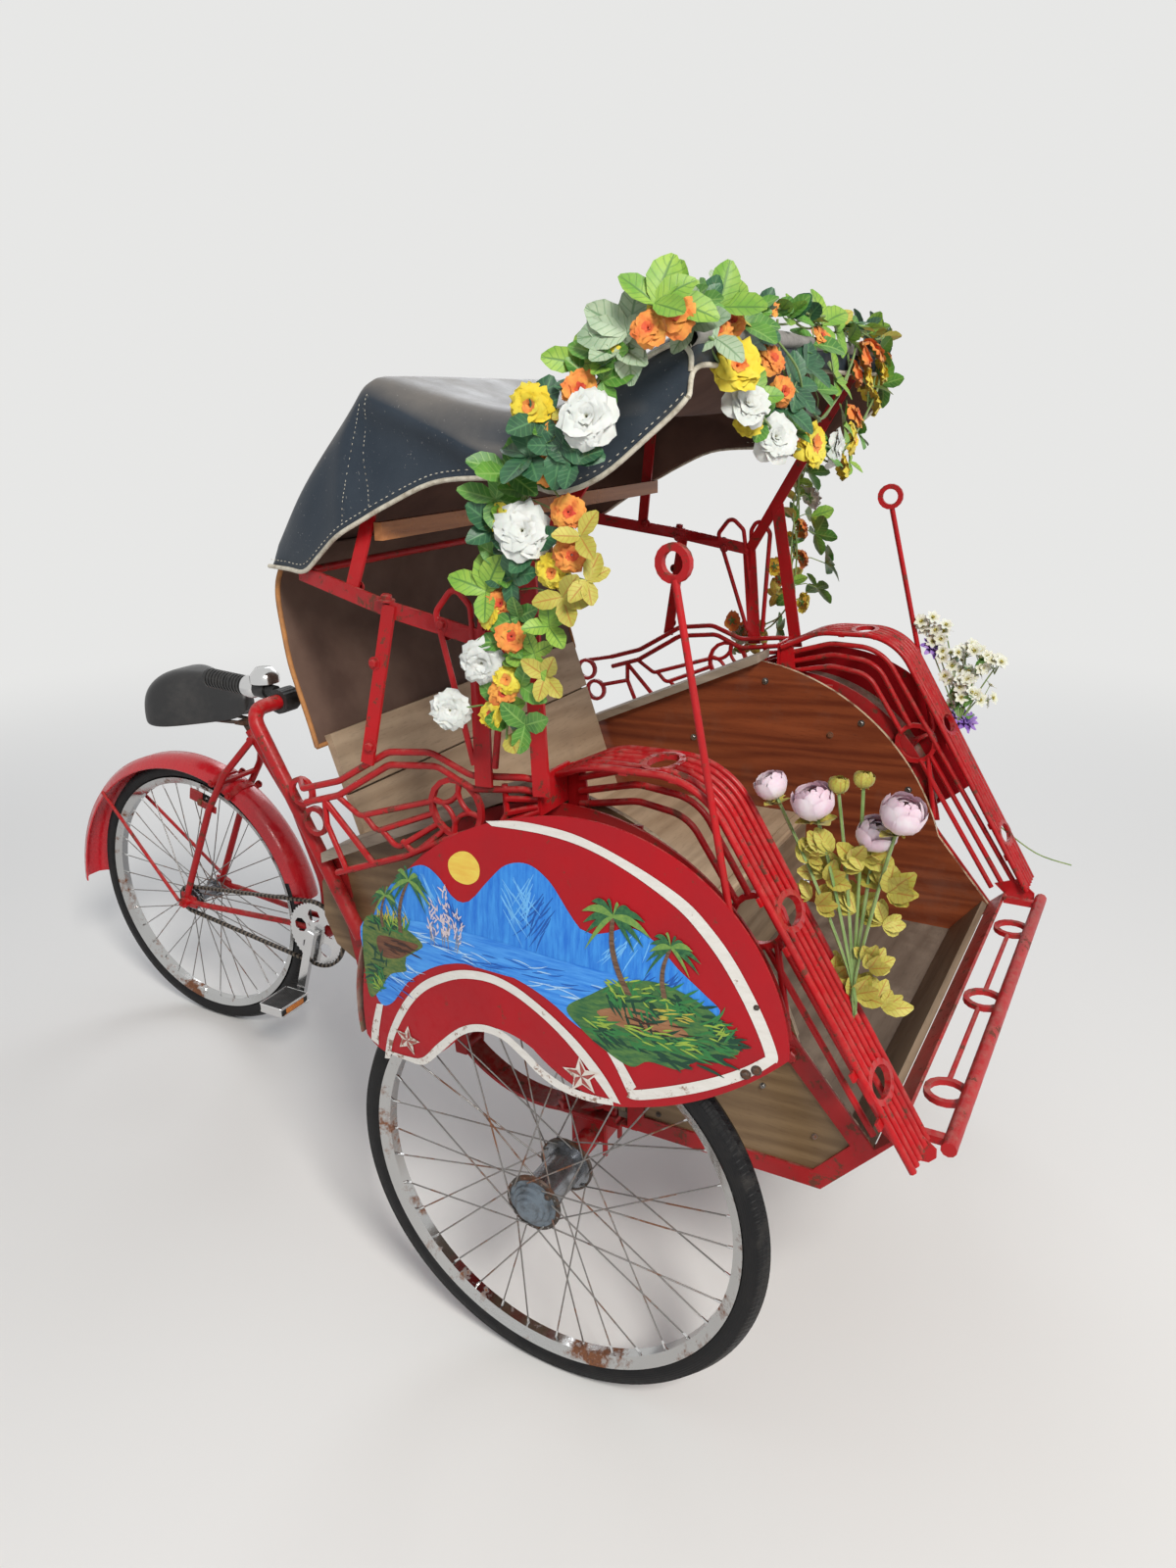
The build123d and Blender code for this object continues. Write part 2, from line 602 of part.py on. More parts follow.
def bow_rail():
    """Six rods side by side with three ovals, and the side rods with their ring."""
    middle_x = RAIL_X_IN + RAIL_X_MID / 2
    rings = [Pos(middle_x, y, z) * Rot(slope_deg, 0, 0) for y, z, slope_deg in OVALS]
    holes = [at_ring * extrude(oval(OVAL_ACROSS, OVAL_ALONG), 20, both=True) for at_ring in rings]
    pieces = []
    for i in range(RAIL_RODS):
        share = i / (RAIL_RODS - 1)
        points = [(rail_x(k, share), y, z) for k, (y, z) in enumerate(RAIL_PATH)]
        one = rod(points, ROD_R, 110.0)
        if 0 < i < RAIL_RODS - 1:
            one = one - holes
        pieces += one.solids()
    made = pieces[0] + pieces[1:]
    for at_ring in rings:
        made += at_ring * flat_ring(OVAL_ACROSS, OVAL_ALONG, ROD_R)
        for along in (-36, 36):
            made += at_ring * Pos(0, along, -ROD_R) * Box(RAIL_X_MID + 8, 12, IRON_T)
    return made


def side_rods():
    """Upright rods between the bow rail and the panel, with the round ring."""
    x = SIDE_RAIL_X
    upper = rod_in_side([(-13, 990), (-100, 1017), (-205, 1014), (-520, 535)], x, ROD_R, 90)
    second = rod_in_side([(-13, 970), (-105, 994), (-196, 985), (-273, 860)], x, ROD_R, 70)
    third = rod_in_side([(-13, 950), (-105, 969), (-182, 958), (-256, 845)], x, ROD_R, 60)
    ring = ring_in_side(SIDE_RING_Y, SIDE_RING_Z, x, SIDE_RING_R)
    low_a = rod_in_side([(-319, 802), (-488, 541)], x)
    low_b = rod_in_side([(-300, 789), (-464, 536)], x)
    tie = rod_in_side([(-315, 798), (-336, 668)], x)
    return upper + second + third + ring + low_a + low_b + tie


def rail_plates():
    """Plate at the rear end, stays to the side rods and the foot plate at the tip."""
    x = PANEL_X + IRON_T + 2 * SEAT_GAP
    rear_plate = side_view([(-28, 930), (7.5, 944), (7.5, 1008), (-2, 1012), (-20, 1002)], x, IRON_T)
    foot = side_view([(TOE_Y - 27, 529), (TOE_Y - 5, 548), (-515, 566), (-548, 540), (-549, 528), (-540, 518), (-520, 516)], x, IRON_T)
    return rear_plate + foot


rail = bow_rail() + side_rods() + rail_plates()
for side_name, one in zip(("left", "right"), both_sides(rail)):
    keep("bow_rail_" + side_name, one)

# Arm rails at the rear


def flower():
    """Ring with a four-pointed star of bent rods inside."""
    y0, z0, x = 156.0, 940.0, ARM_RAIL_X
    made = ring_in_side(y0, z0, x, FLOWER_R, 4.5)
    for quarter in range(4):
        turn = 90.0 * quarter + 10.0
        arc = ThreePointArc((0, FLOWER_R), (0.216 * FLOWER_R, 0.216 * FLOWER_R), (FLOWER_R, 0))
        path = Plane(origin=(x, y0, z0), x_dir=(0, cos(radians(turn)), sin(radians(turn))),
                     z_dir=(1, 0, 0)) * arc
        made += sweep(Plane(origin=path @ 0, z_dir=path % 0) * bar_section(4.0), path=path)
    return made


ROD_A = [(455, 925), (378, 949), (275, 1010), (196, 1020), (126, 994), (40, 1004), (11, 1004)]
ROD_B = [(452, 902), (381, 925), (275, 990), (186, 1000), (126, 974), (40, 986), (11, 986)]
ROD_LOW = [(400, 790), (262, 843), (169, 892), (71, 930), (11, 959)]


def arm_rail():
    """Armrest railing: two waved rods, hooked rods, the flower and the scrolls behind."""
    x = ARM_RAIL_X
    made = rod_in_side(ROD_A, x, ROD_R, 45) + rod_in_side(ROD_B, x, ROD_R, 40)
    made += rod_in_side(ROD_LOW, x, ROD_R, 60)
    made += rod_in_side([(411, 912), (322, 820)], x)
    # Hooked rods: (front y, z), (bend y, z), (end y, z)
    hooks = [
        ((196, 945), (342, 897), (381, 922)),
        ((198, 925), (310, 877), (334, 901)),
        ((192, 909), (272, 856), (302, 882)),
        ((180, 902), (240, 852), (262, 870)),
    ]
    for front, bend, end in hooks:
        made += rod_in_side([front, bend, end], x, 4.5, 14)
    made += flower()
    made += rod_in_side([(70, 990), (68, 945), (82, 924)], x, 4.5, 18)
    for z_rear, z_front in ((968, 976), (946, 966)):
        made += rod_in_side([(69, z_rear), (11, z_front)], x, 4.5)
    # Scrolls that tie the rail to the handle's leg
    scroll_x = HANDLE_X + HANDLE_R + 8
    for y, z in ((498, 900), (474, 852)):
        made += ring_in_side(y, z, scroll_x, 22, 4.5)
    made += rod([(x, 455, 925), (scroll_x, 500, 921)], 4.5) + rod([(x, 411, 872), (scroll_x, 456, 866)], 4.5)
    made += rod_in_side([(411, 912), (411, 872), (380, 800)], x, 4.5, 14)
    plate = Pos((PANEL_X + 0.4 + ARM_RAIL_X + 4.5) / 2, 11, 981) * Box(ARM_RAIL_X + 4.1 - PANEL_X, 5, 57)
    return made + plate


for side_name, one in zip(("left", "right"), both_sides(arm_rail())):
    keep("arm_rail_" + side_name, one)

# Bumper

bumper = tube_between((-BUMPER_HALF, BUMPER_Y, BUMPER_Z), (BUMPER_HALF, BUMPER_Y, BUMPER_Z), BUMPER_R)
BUMPER_RING_Z = 527.0
for x in (-298.0, 0.0, 298.0):
    bumper += Pos(x, BUMPER_RING_Y, BUMPER_RING_Z) * flat_ring(BUMPER_RING_R, BUMPER_RING_R, 5.0)
for x0, x1 in ((-270.0, -28.0), (28.0, 270.0)):
    bumper += tube_between((x0, BUMPER_RING_Y + 3, BUMPER_RING_Z), (x1, BUMPER_RING_Y + 3, BUMPER_RING_Z), 4.0)
for x in (-420.0, 420.0):
    bumper += Pos(x, (BUMPER_Y + TOE_Y - 30.5) / 2, 533) * Box(14, TOE_Y - 30.5 - BUMPER_Y, 12)
keep("bumper", bumper)

# Tall rods with eyes beside the bow rails


def eye_rod():
    """Upright rod with an eye at the top, held by a clamp at the mudguard hoop."""
    rod_piece = rod([(524.5, -189, 1290), (570, -300, 820), (548, -268, 806)], 5.0, 14)
    eye = Plane(origin=(522.0, -186.0, 1310.0), z_dir=(1, 0.1, 0)) * flat_ring(20.0, 20.0, 5.5)
    clamp_in = HOOP_X + IRON_T + SEAT_GAP
    clamp = Pos((clamp_in + 556) / 2, -267, 806) * Box(556 - clamp_in, 20, 5)
    return rod_piece + eye + clamp


keep("eye_rods", *both_sides(eye_rod()))

# Hood irons and wooden slat

BAR_FRONT = (519.5, 105.0, 1193.0)
BAR_BEND = (514.0, 263.0, 1221.0)
BAR_REAR = (464.0, 475.0, 1257.0)
POST_FOOT_X = 540.0        # posts stand just outside the arm rail
POST_FOOT_Z = 985.0
POST_LEAN = 0.0953         # how far a post leans in, for each millimetre of height
BOW_HALF = 425.0           # half length of the straight top of a bow


def post_x(z):
    return POST_FOOT_X - (z - POST_FOOT_Z) * POST_LEAN


def post(foot, top, width):
    """A flat upright of the hood, from (y, z) to (y, z)."""
    return bar((post_x(foot[1]), *foot), (post_x(top[1]), *top), width, 5.0)


def hood_side():
    """Side bar, posts, bow legs and looped rods of one side."""
    made = bar(BAR_FRONT, BAR_BEND, BAR_W, 5.0) + bar(BAR_BEND, BAR_REAR, BAR_W, 5.0)
    made += post((309, 990), (262, 1228), 22)
    made += post((98, POST_FOOT_Z), (110, 1204), 28)
    made += bar((541.3, 2, POST_FOOT_Z), (494.5, 41, 1292), 26, 5.0)
    loops = [
        [(115, 1014), (181, 1224), (150, 1262), (122, 1235), (108, 1110)],
        [(80, 1014), (62, 1230), (86, 1264), (104, 1235), (106, 1150)],
    ]
    for points in loops:
        made += rod([(post_x(z), y, z) for y, z in points], 4.5, 14)
    made += bar((519, 108, 1193), (BOW_HALF, FRONT_BOW[0], FRONT_BOW[1]), 22, 5.0)
    made += bar((492, 352, 1238), (BOW_HALF, REAR_BOW[0], REAR_BOW[1]), 22, 5.0)
    return made


# Hood outline in (y, z): over the roof from the rear edge to the front lip, then the side's edge
HOOD_TOP = [(548.0, 1262.0), (544.0, 1300.0), (322.0, 1532.0), (300.0, 1536.0), (20.0, 1484.0),
            (-150.0, 1584.0), (-172.0, 1576.0), (-178.0, 1540.0)]
HOOD_LOW = [(-178.0, 1500.0), (-120.0, 1448.0), (-30.0, 1387.0), (60.0, 1402.0), (110.0, 1404.0),
            (190.0, 1397.0), (270.0, 1365.0), (370.0, 1315.0), (440.0, 1262.0)]
HOOD_INSIDE = [(542.0, 1100.0), (542.0, 1262.0), (538.0, 1297.0), (319.0, 1525.5), (301.0, 1529.5),
               (21.0, 1477.0), (-149.0, 1576.5), (-166.0, 1570.0), (-172.0, 1540.0), (-172.0, 1100.0)]


def roof_strip(front, rear, gap, thickness):
    """A strip under the roof's inner surface, from two (y, z) points on that surface."""
    dy, dz = rear[0] - front[0], rear[1] - front[1]
    run = hypot(dy, dz)
    ny, nz = dz / run, -dy / run
    low = gap + thickness
    return side_view([
        (front[0] + ny * gap, front[1] + nz * gap), (rear[0] + ny * gap, rear[1] + nz * gap),
        (rear[0] + ny * low, rear[1] + nz * low), (front[0] + ny * low, front[1] + nz * low),
    ], -BOW_HALF - 6, 2 * BOW_HALF + 12)


def on_roof(y):
    """Point on the roof's inner surface."""
    line = [p for p in HOOD_INSIDE if p[1] > 1200]
    for (y0, z0), (y1, z1) in zip(line, line[1:]):
        if y1 <= y <= y0:
            return (y, z0 + (z1 - z0) * (y - y0) / (y1 - y0))


FRONT_BOW = (-130.0, on_roof(-130.0)[1] - 12)
REAR_BOW = (290.0, on_roof(290.0)[1] - 9)
front_top = roof_strip(on_roof(-146), on_roof(-116), SEAT_GAP, 6.0)
rear_top = roof_strip(on_roof(272), on_roof(298), SEAT_GAP, 6.0)
tail_bow = tube_between((-464, 475, 1257), (464, 475, 1257), 6.0)
hood_half = hood_side()
keep("hood_irons", hood_half + mirror(hood_half, about=Plane.YZ) + front_top + rear_top + tail_bow)

leg_y = REAR_BOW[0] + (352 - REAR_BOW[0]) * (REAR_BOW[1] - 1338) / (REAR_BOW[1] - 1238)
slat = Pos(0, leg_y - 11.4 - 7.5, 1325) * Box(940, 14, 26)
keep("hood_slat", slat)

# Hood cloth and back curtain


def hood_block(outline, top_x, low_x, top_z, low_z):
    """A block with the hood's side outline, its sides leaning out towards the lower edge."""
    block = extrude(make_face(Plane.YZ * Polyline(*outline, close=True)), 600, both=True)
    front_face = make_face(Plane.XZ * Polyline(
        (-top_x, top_z), (top_x, top_z), (low_x, low_z), (-low_x, low_z), close=True))
    return block & extrude(front_face, 900, both=True)


# Half width of the hood seen from above, as (y, half width)
HOOD_PLAN = [(-200.0, 532.0), (263.0, 527.0), (475.0, 476.0), (560.0, 452.0)]


def hood_plan(inset):
    """A block with the hood's outline from above."""
    right = [(half - inset, y) for y, half in HOOD_PLAN]
    left = [(-x, y) for x, y in reversed(right)]
    return Pos(0, 0, 1000) * extrude(make_face(Polyline(*right, *left, close=True)), 700)


def canopy():
    """Hood cloth as a thin shell: roof, back and both sides, open below."""
    top_z, low_z = 1590.0, 1262.0
    spread = (HOOD_LOW_X - HOOD_TOP_X) / (top_z - low_z)
    base_x = HOOD_LOW_X + (low_z - 1100.0) * spread
    block = hood_block(HOOD_TOP + HOOD_LOW, HOOD_TOP_X, HOOD_LOW_X, top_z, low_z - 1)
    block &= hood_plan(0)
    inner = hood_block(HOOD_INSIDE, HOOD_TOP_X - HOOD_T, base_x - HOOD_T, top_z, 1100.0)
    inner &= hood_plan(HOOD_T)
    return block - inner


keep("hood_canopy", canopy())

CURTAIN_FRONT = [(500.4, 960), (505.9, 975.5), (543, 1100), (555, 1215), (537.2, 1262), (534.6, 1285)]
CURTAIN_T = 4.5
curtain = side_view(CURTAIN_FRONT + [(y + CURTAIN_T, z) for y, z in reversed(CURTAIN_FRONT)], -440, 880)
keep("hood_curtain", curtain)

# Handle hoop with its clamp, bell and grip

handle = rod([
    (-HANDLE_X, HANDLE_FOOT_Y, HANDLE_FOOT_Z), (-HANDLE_X, HANDLE_TOP_Y, HANDLE_TOP_Z),
    (HANDLE_X, HANDLE_TOP_Y, HANDLE_TOP_Z), (HANDLE_X, HANDLE_FOOT_Y, HANDLE_FOOT_Z),
], HANDLE_R, 30.0)
keep("handle_hoop", handle)

GRIP_X = -385.0
clamp = Pos(GRIP_X, HANDLE_TOP_Y, HANDLE_TOP_Z) * Rot(0, 90, 0) * (
    extrude(RegularPolygon(22, 12), 17, both=True) - extrude(RegularPolygon(HANDLE_R + 0.9, 12), 30, both=True))
stub = tube_between((GRIP_X, HANDLE_TOP_Y + 18, HANDLE_TOP_Z + 12), (GRIP_X, HANDLE_TOP_Y + 175, HANDLE_TOP_Z + 22), 11)
grip = tube_between((GRIP_X, HANDLE_TOP_Y + 74, HANDLE_TOP_Z + 15.6), (GRIP_X, HANDLE_TOP_Y + 180, HANDLE_TOP_Z + 22.3), 16)
keep("handle_grip", clamp + stub + grip)
bell_at = Pos(GRIP_X + 2, HANDLE_TOP_Y + 44, HANDLE_TOP_Z + 26.6)
bell = bell_at * (extrude(RegularPolygon(26, 16), 12) + Pos(0, 0, 12) * extrude(RegularPolygon(26, 16), 14, taper=38))
keep("bell", bell)

# Rear frame

head_tube = tube_between((0, HEAD_Y, HEAD_LOW_Z), (0, HEAD_Y, HEAD_HIGH_Z), HEAD_R)
shell = tube_between((-34, CRANK_Y, CRANK_Z), (34, CRANK_Y, CRANK_Z), 24)
main_tube = rod([(0, HEAD_Y + 15, 440), (0, CRANK_Y - 180, CRANK_Z + 60), (0, CRANK_Y, CRANK_Z + 6)], TUBE_R + 3, 200)
seat_tube = rod([(0, CRANK_Y - 3, CRANK_Z + 8), (0, CRANK_Y - 9, CRANK_Z + 110), (0, SEAT_TOP_Y - 112, SEAT_TOP_Z - 164),
                 (0, SEAT_TOP_Y, SEAT_TOP_Z)], TUBE_R, 150)
upper_tube = rod([(0, HEAD_Y + 15, 478), (0, CRANK_Y - 380, CRANK_Z + 160), (0, CRANK_Y - 15, CRANK_Z + 138)], TUBE_R - 2, 200)
rear_frame = head_tube + shell + main_tube + seat_tube + upper_tube
stay_top = (SEAT_TOP_Y - 12, SEAT_TOP_Z - 20)
for side in (-1, 1):
    x = side * STAY_X
    rear_frame += rod([(side * 16, *stay_top), (x, SEAT_TOP_Y + 47, SEAT_TOP_Z - 101),
                       (x, SEAT_TOP_Y + 112, SEAT_TOP_Z - 197), (x, WHEELBASE, REAR_WHEEL_R + 12)], STAY_R, 60)
    rear_frame += rod([(side * 26, CRANK_Y + 4, CRANK_Z), (side * STAY_IN_X, CRANK_Y + 60, CRANK_Z + 2),
                       (side * STAY_IN_X, CRANK_Y + 110, CRANK_Z + 2), (x, WHEELBASE - 56, REAR_WHEEL_R), (x, WHEELBASE - 6, REAR_WHEEL_R)],
                      CHAIN_STAY_R, 40)
    dropout = side_view([
        (WHEELBASE - 30, REAR_WHEEL_R - 14), (WHEELBASE + 16, REAR_WHEEL_R - 14),
        (WHEELBASE + 16, REAR_WHEEL_R + 22), (WHEELBASE - 30, REAR_WHEEL_R + 14)], x - 3, 6)
    rear_frame += dropout
rear_frame += tube_between((-24, *stay_top), (24, *stay_top), 9)
bridge = (SEAT_TOP_Y + 61.7, SEAT_TOP_Z - 122.7)
rear_frame += tube_between((-STAY_X, *bridge), (STAY_X, *bridge), 6)
rear_frame -= round_bar((0, HEAD_Y, HEAD_LOW_Z - 50), (0, HEAD_Y, HEAD_HIGH_Z + 50), KINGPIN_R + RUNNING_GAP)
rear_frame -= round_bar((-200, CRANK_Y, CRANK_Z), (200, CRANK_Y, CRANK_Z), 8 + RUNNING_GAP)
rear_axle = round_bar((-82, WHEELBASE, REAR_WHEEL_R), (82, WHEELBASE, REAR_WHEEL_R), REAR_AXLE_R)
for side in (-1, 1):
    rear_axle += tube_between((side * 62, WHEELBASE, REAR_WHEEL_R), (side * 74, WHEELBASE, REAR_WHEEL_R), 13)
keep("rear_frame", rear_frame + rear_axle)


def guard_section(crown):
    """Cross section of the rear mudguard: a shallow arch with its crown at a radius."""
    half = REAR_GUARD_W / 2
    edge = crown - 30
    outer = [(-half, edge), (-0.8 * half, crown - 14), (-0.4 * half, crown - 3),
             (0.4 * half, crown - 3), (0.8 * half, crown - 14), (half, edge)]
    inner = [(x * (half - 2.5) / half, r - 2.5) for x, r in outer]
    return make_face(Plane.XZ * Polyline(*outer, *reversed(inner), close=True))


# The front half follows the wheel, the rear half opens towards the tail
front_guard = at_rear * revolve(guard_section(REAR_GUARD_R), Axis.X, 81)
tail_guard = Pos(0, WHEELBASE, REAR_WHEEL_R + REAR_GUARD_R - REAR_TAIL_R) * revolve(
    guard_section(REAR_TAIL_R), Axis.X, -(90 - REAR_TAIL_END))
rear_guard = front_guard + tail_guard
for side in (-1, 1):
    edge_x = side * (REAR_GUARD_END_W / 2 + 50)
    rear_guard -= Pos(edge_x, CRANK_Y + 60, CRANK_Z + 10) * Box(100, 400, 200)
keep("rear_mudguard", rear_guard)

stays = []
for side in (-1, 1):
    stays.append(tube_between((side * 78.3, WHEELBASE + 7.5, REAR_WHEEL_R + 7), (side * 45.9, WHEELBASE + 272, REAR_WHEEL_R + 242), 4))
keep("guard_stays", *stays)

tube_run = Vector(0, 112, 164).normalized()
post_low = Vector(0, SEAT_TOP_Y, SEAT_TOP_Z) + tube_run * 0.4
post_high = post_low + tube_run * 22
saddle_post = tube_between(tuple(post_low), tuple(post_high), 12)
rail_z = post_high.Z
rails = []
for s in (-1, 1):
    rails.append(rod([(s * 14, SEAT_TOP_Y - 5, rail_z), (s * 22, SEAT_TOP_Y + 57, rail_z),
                      (s * 40, SEAT_TOP_Y + 217, rail_z + 1)], 4, 40))
cross = Pos(0, post_high.Y, rail_z) * Box(50, 26, 7)
keep("saddle_rails", saddle_post + cross + rails[0] + rails[1])
saddle_outline = [
    (-22, -6), (22, -6), (30, 65), (70, 145), (104, 195), (104, 232), (80, 254),
    (-80, 254), (-104, 232), (-104, 195), (-70, 145), (-30, 65)]
saddle = Pos(0, SEAT_TOP_Y, rail_z + 7.2 + SEAT_GAP) * extrude(make_face(Polyline(*saddle_outline, close=True)), 66)
saddle = chamfer(saddle.faces().sort_by(Axis.Z)[-1].edges(), 16)
keep("saddle", saddle)

# Chain, crank and pedals


def chain_loop(thick):
    """Outline of the chain round both chain wheels, in (y, z)."""
    dy = WHEELBASE - CRANK_Y
    dz = REAR_WHEEL_R - CRANK_Z
    reach = hypot(dy, dz)
    base = atan2(dz, dy)

    def outline(front_r, rear_r):
        tip = (front_r - rear_r) / reach
        spread = radians(90) - atan2(tip, (1 - tip * tip) ** 0.5)
        points = []
        for y, z, r, first, last in (
                (CRANK_Y, CRANK_Z, front_r, base + spread, base + 2 * radians(180) - spread),
                (WHEELBASE, REAR_WHEEL_R, rear_r, base - spread, base + spread)):
            mid = (first + last) / 2
            points.append([(y + r * cos(t), z + r * sin(t)) for t in (first, mid, last)])
        front_arc = ThreePointArc(*points[0])
        rear_arc = ThreePointArc(*points[1])
        return Curve() + [front_arc, Line(front_arc @ 1, rear_arc @ 0), rear_arc, Line(rear_arc @ 1, front_arc @ 0)]

    outer = make_face(Plane.YZ * outline(CHAINRING_R + thick / 2, SPROCKET_R + thick / 2))
    inner = make_face(Plane.YZ * outline(CHAINRING_R - thick / 2, SPROCKET_R - thick / 2))
    return outer - inner


chain = Pos(CHAIN_X - 4, 0, 0) * extrude(chain_loop(CHAIN_T), 8, dir=(1, 0, 0))
keep("chain", chain)

at_crank = Pos(0, CRANK_Y, CRANK_Z)
ring_gear = toothed(CHAINRING_R - CHAIN_T / 2 - TOOTH_GAP, CHAINRING_R - CHAIN_T, 44, 3.0, CHAIN_X)
for i in range(5):
    ring_gear -= Pos(CHAIN_X, 0, 0) * Rot(72 * i, 0, 0) * Pos(0, 0, 46) * Rot(0, 90, 0) * extrude(RegularPolygon(18, 8), 9, both=True)
crank_axle = round_bar((-62, 0, 0), (62, 0, 0), 8)
arms = None
ARM_TILT = 18.0
for side in (-1, 1):
    arm = Pos(side * 60, 0, 0) * Rot(ARM_TILT + (180 if side > 0 else 0), 0, 0) * Pos(0, 0, -CRANK_LENGTH / 2) * Box(12, 22, CRANK_LENGTH + 24)
    arms = arm if arms is None else arms + arm
keep("crank", at_crank * (ring_gear + crank_axle + arms))

for side_name, side in (("left", 1), ("right", -1)):
    turn = radians(ARM_TILT + (180 if side > 0 else 0))
    y = CRANK_Y + CRANK_LENGTH * sin(turn)
    z = CRANK_Z - CRANK_LENGTH * cos(turn)
    body = Pos(side * 118, y, z) * Box(88, 62, 22)
    keep("pedal_" + side_name, body + tube_between((side * 66.3, y, z), (side * 80, y, z), 8))

# Flowers tied to the hood and the rails, as the space that they fill

GARLAND_R = 26.0
garland_line = [
    (-576, 30, 1070), (-572, 30, 1370), (-535, -100, 1542), (-476, -150, 1611.4),
    (476, -150, 1611.4), (535, -100, 1542), (572, 30, 1370), (576, 30, 1070)]
garland = rod(garland_line, GARLAND_R, 50)
keep("garland", garland)


def posy(x, y, z, top, spread):
    """A bunch of flowers: a thin bundle of stems that opens towards the top."""
    stems_r = 11.0
    stems_top = 0.45 * top
    head = top - stems_top
    made = Pos(x, y, z + stems_top / 2) * Cylinder(stems_r, stems_top)
    return made + Pos(x, y, z + stems_top + head / 2) * Cone(stems_r, stems_r + head * tan(radians(spread)), head)


keep("posy_right", posy(-(RAIL_X_IN - 5.2 - SEAT_GAP - 10.8), -415, 690, 330, 15))
keep("posy_left", posy(RAIL_X_IN + RAIL_X_MID + SEAT_GAP + 10, -352, 850, 180, 20))

os.makedirs("parts", exist_ok=True)
for name, solids in nodes.items():
    placed = [Pos(0, -MIDDLE_Y, 0) * solid for solid in solids]
    shape = placed[0] if len(placed) == 1 else Compound(children=placed)
    export_step(shape, "parts/" + name + ".step")
print("origin moved by", MIDDLE_Y)
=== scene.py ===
# %% [markdown]
# # A painted cycle rickshaw in Blender
#
# The vehicle carries its passenger cabin between two front wheels, and its rider pedals behind. The metal,
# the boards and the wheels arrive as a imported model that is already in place, in metres. This script gives
# them their paint, wood and rubber, and builds what is soft or painted: the hood cloth, the curtain, the
# saddle, the pictures on the skirts and the flowers.

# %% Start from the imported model
import random
from math import copysign, cos, exp, pi, radians, sin, sqrt

import bmesh
import bpy
from mathutils import Matrix, Vector, noise
from mathutils.bvhtree import BVHTree


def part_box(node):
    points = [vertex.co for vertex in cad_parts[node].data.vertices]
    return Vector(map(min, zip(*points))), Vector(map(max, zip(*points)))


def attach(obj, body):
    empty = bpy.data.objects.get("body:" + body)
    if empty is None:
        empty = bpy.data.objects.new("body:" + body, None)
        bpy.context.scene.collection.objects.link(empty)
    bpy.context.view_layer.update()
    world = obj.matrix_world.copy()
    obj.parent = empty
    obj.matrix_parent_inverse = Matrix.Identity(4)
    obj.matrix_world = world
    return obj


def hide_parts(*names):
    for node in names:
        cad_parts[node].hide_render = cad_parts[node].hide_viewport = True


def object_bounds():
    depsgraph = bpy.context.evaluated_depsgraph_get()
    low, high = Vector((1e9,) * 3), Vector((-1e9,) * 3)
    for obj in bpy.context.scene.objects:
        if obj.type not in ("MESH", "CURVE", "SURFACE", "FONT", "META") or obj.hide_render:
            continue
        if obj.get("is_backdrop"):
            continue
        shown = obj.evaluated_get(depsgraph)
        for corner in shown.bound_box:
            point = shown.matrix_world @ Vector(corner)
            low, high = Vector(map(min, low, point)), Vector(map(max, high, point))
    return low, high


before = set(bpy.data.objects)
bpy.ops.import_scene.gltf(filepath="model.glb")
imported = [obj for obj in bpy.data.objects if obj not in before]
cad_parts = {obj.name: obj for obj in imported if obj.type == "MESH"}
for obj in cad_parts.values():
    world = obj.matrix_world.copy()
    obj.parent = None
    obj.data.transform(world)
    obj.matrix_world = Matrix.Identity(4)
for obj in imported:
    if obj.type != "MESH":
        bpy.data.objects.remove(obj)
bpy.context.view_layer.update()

# %% [markdown]
# The measurements are easiest to keep with their origin on the floor under the front axle, with the cabin
# facing -Y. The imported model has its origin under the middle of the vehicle, so every point passes through
# one helper that moves it along Y. Longer tables are written in millimetres, and a second helper turns
# them into metres.

# %% Two helpers for the vehicle's own measurements
AXLE_TO_MIDDLE = 0.60327
FRONT_WHEEL_X = 0.5575
FRONT_AXLE_Z = 0.355
REAR_AXLE_Y = 1.346
REAR_AXLE_Z = 0.345


def at(x, y, z):
    """A point measured from the floor under the front axle, in the model's own frame."""
    return Vector((x, y - AXLE_TO_MIDDLE, z))


def metres(table):
    """The same table in metres, however its lengths in millimetres are nested."""
    if isinstance(table, (tuple, list)):
        return tuple(metres(one) for one in table)
    return table / 1000


print("front axle at", at(0, 0, FRONT_AXLE_Z))

# %% [markdown]
# The camera stands where the photographer stood: about one and a half metres up, close to the right front
# corner, looking down a little. A wide lens so near makes the front wheel large and the rear wheel small,
# so the distance matters as much as the direction.

# %% Camera
CAMERA_AT = at(-1.7538, -0.7454, 1.4922)
YAW = radians(60.921)
PITCH = radians(18.997)
ROLL = radians(1.13)
FOCAL_PIXELS = 1119.5
PHOTO_WIDTH = 1200
PHOTO_HEIGHT = 1600
SENSOR_HEIGHT = 36.0

forward = Vector((sin(YAW) * cos(PITCH), cos(YAW) * cos(PITCH), -sin(PITCH)))
level_right = Vector((cos(YAW), -sin(YAW), 0))
level_down = forward.cross(level_right)
right = cos(ROLL) * level_right + sin(ROLL) * level_down
down = -sin(ROLL) * level_right + cos(ROLL) * level_down
turn = Matrix((right, -down, -forward)).transposed().to_4x4()
camera_data = bpy.data.cameras.new("camera")
camera_data.sensor_fit = "VERTICAL"
camera_data.sensor_height = SENSOR_HEIGHT
camera_data.lens = SENSOR_HEIGHT * FOCAL_PIXELS / PHOTO_HEIGHT
camera_data.clip_start = 0.05
camera = bpy.data.objects.new("camera", camera_data)
camera.matrix_world = Matrix.Translation(CAMERA_AT) @ turn
bpy.context.scene.collection.objects.link(camera)
bpy.context.scene.camera = camera
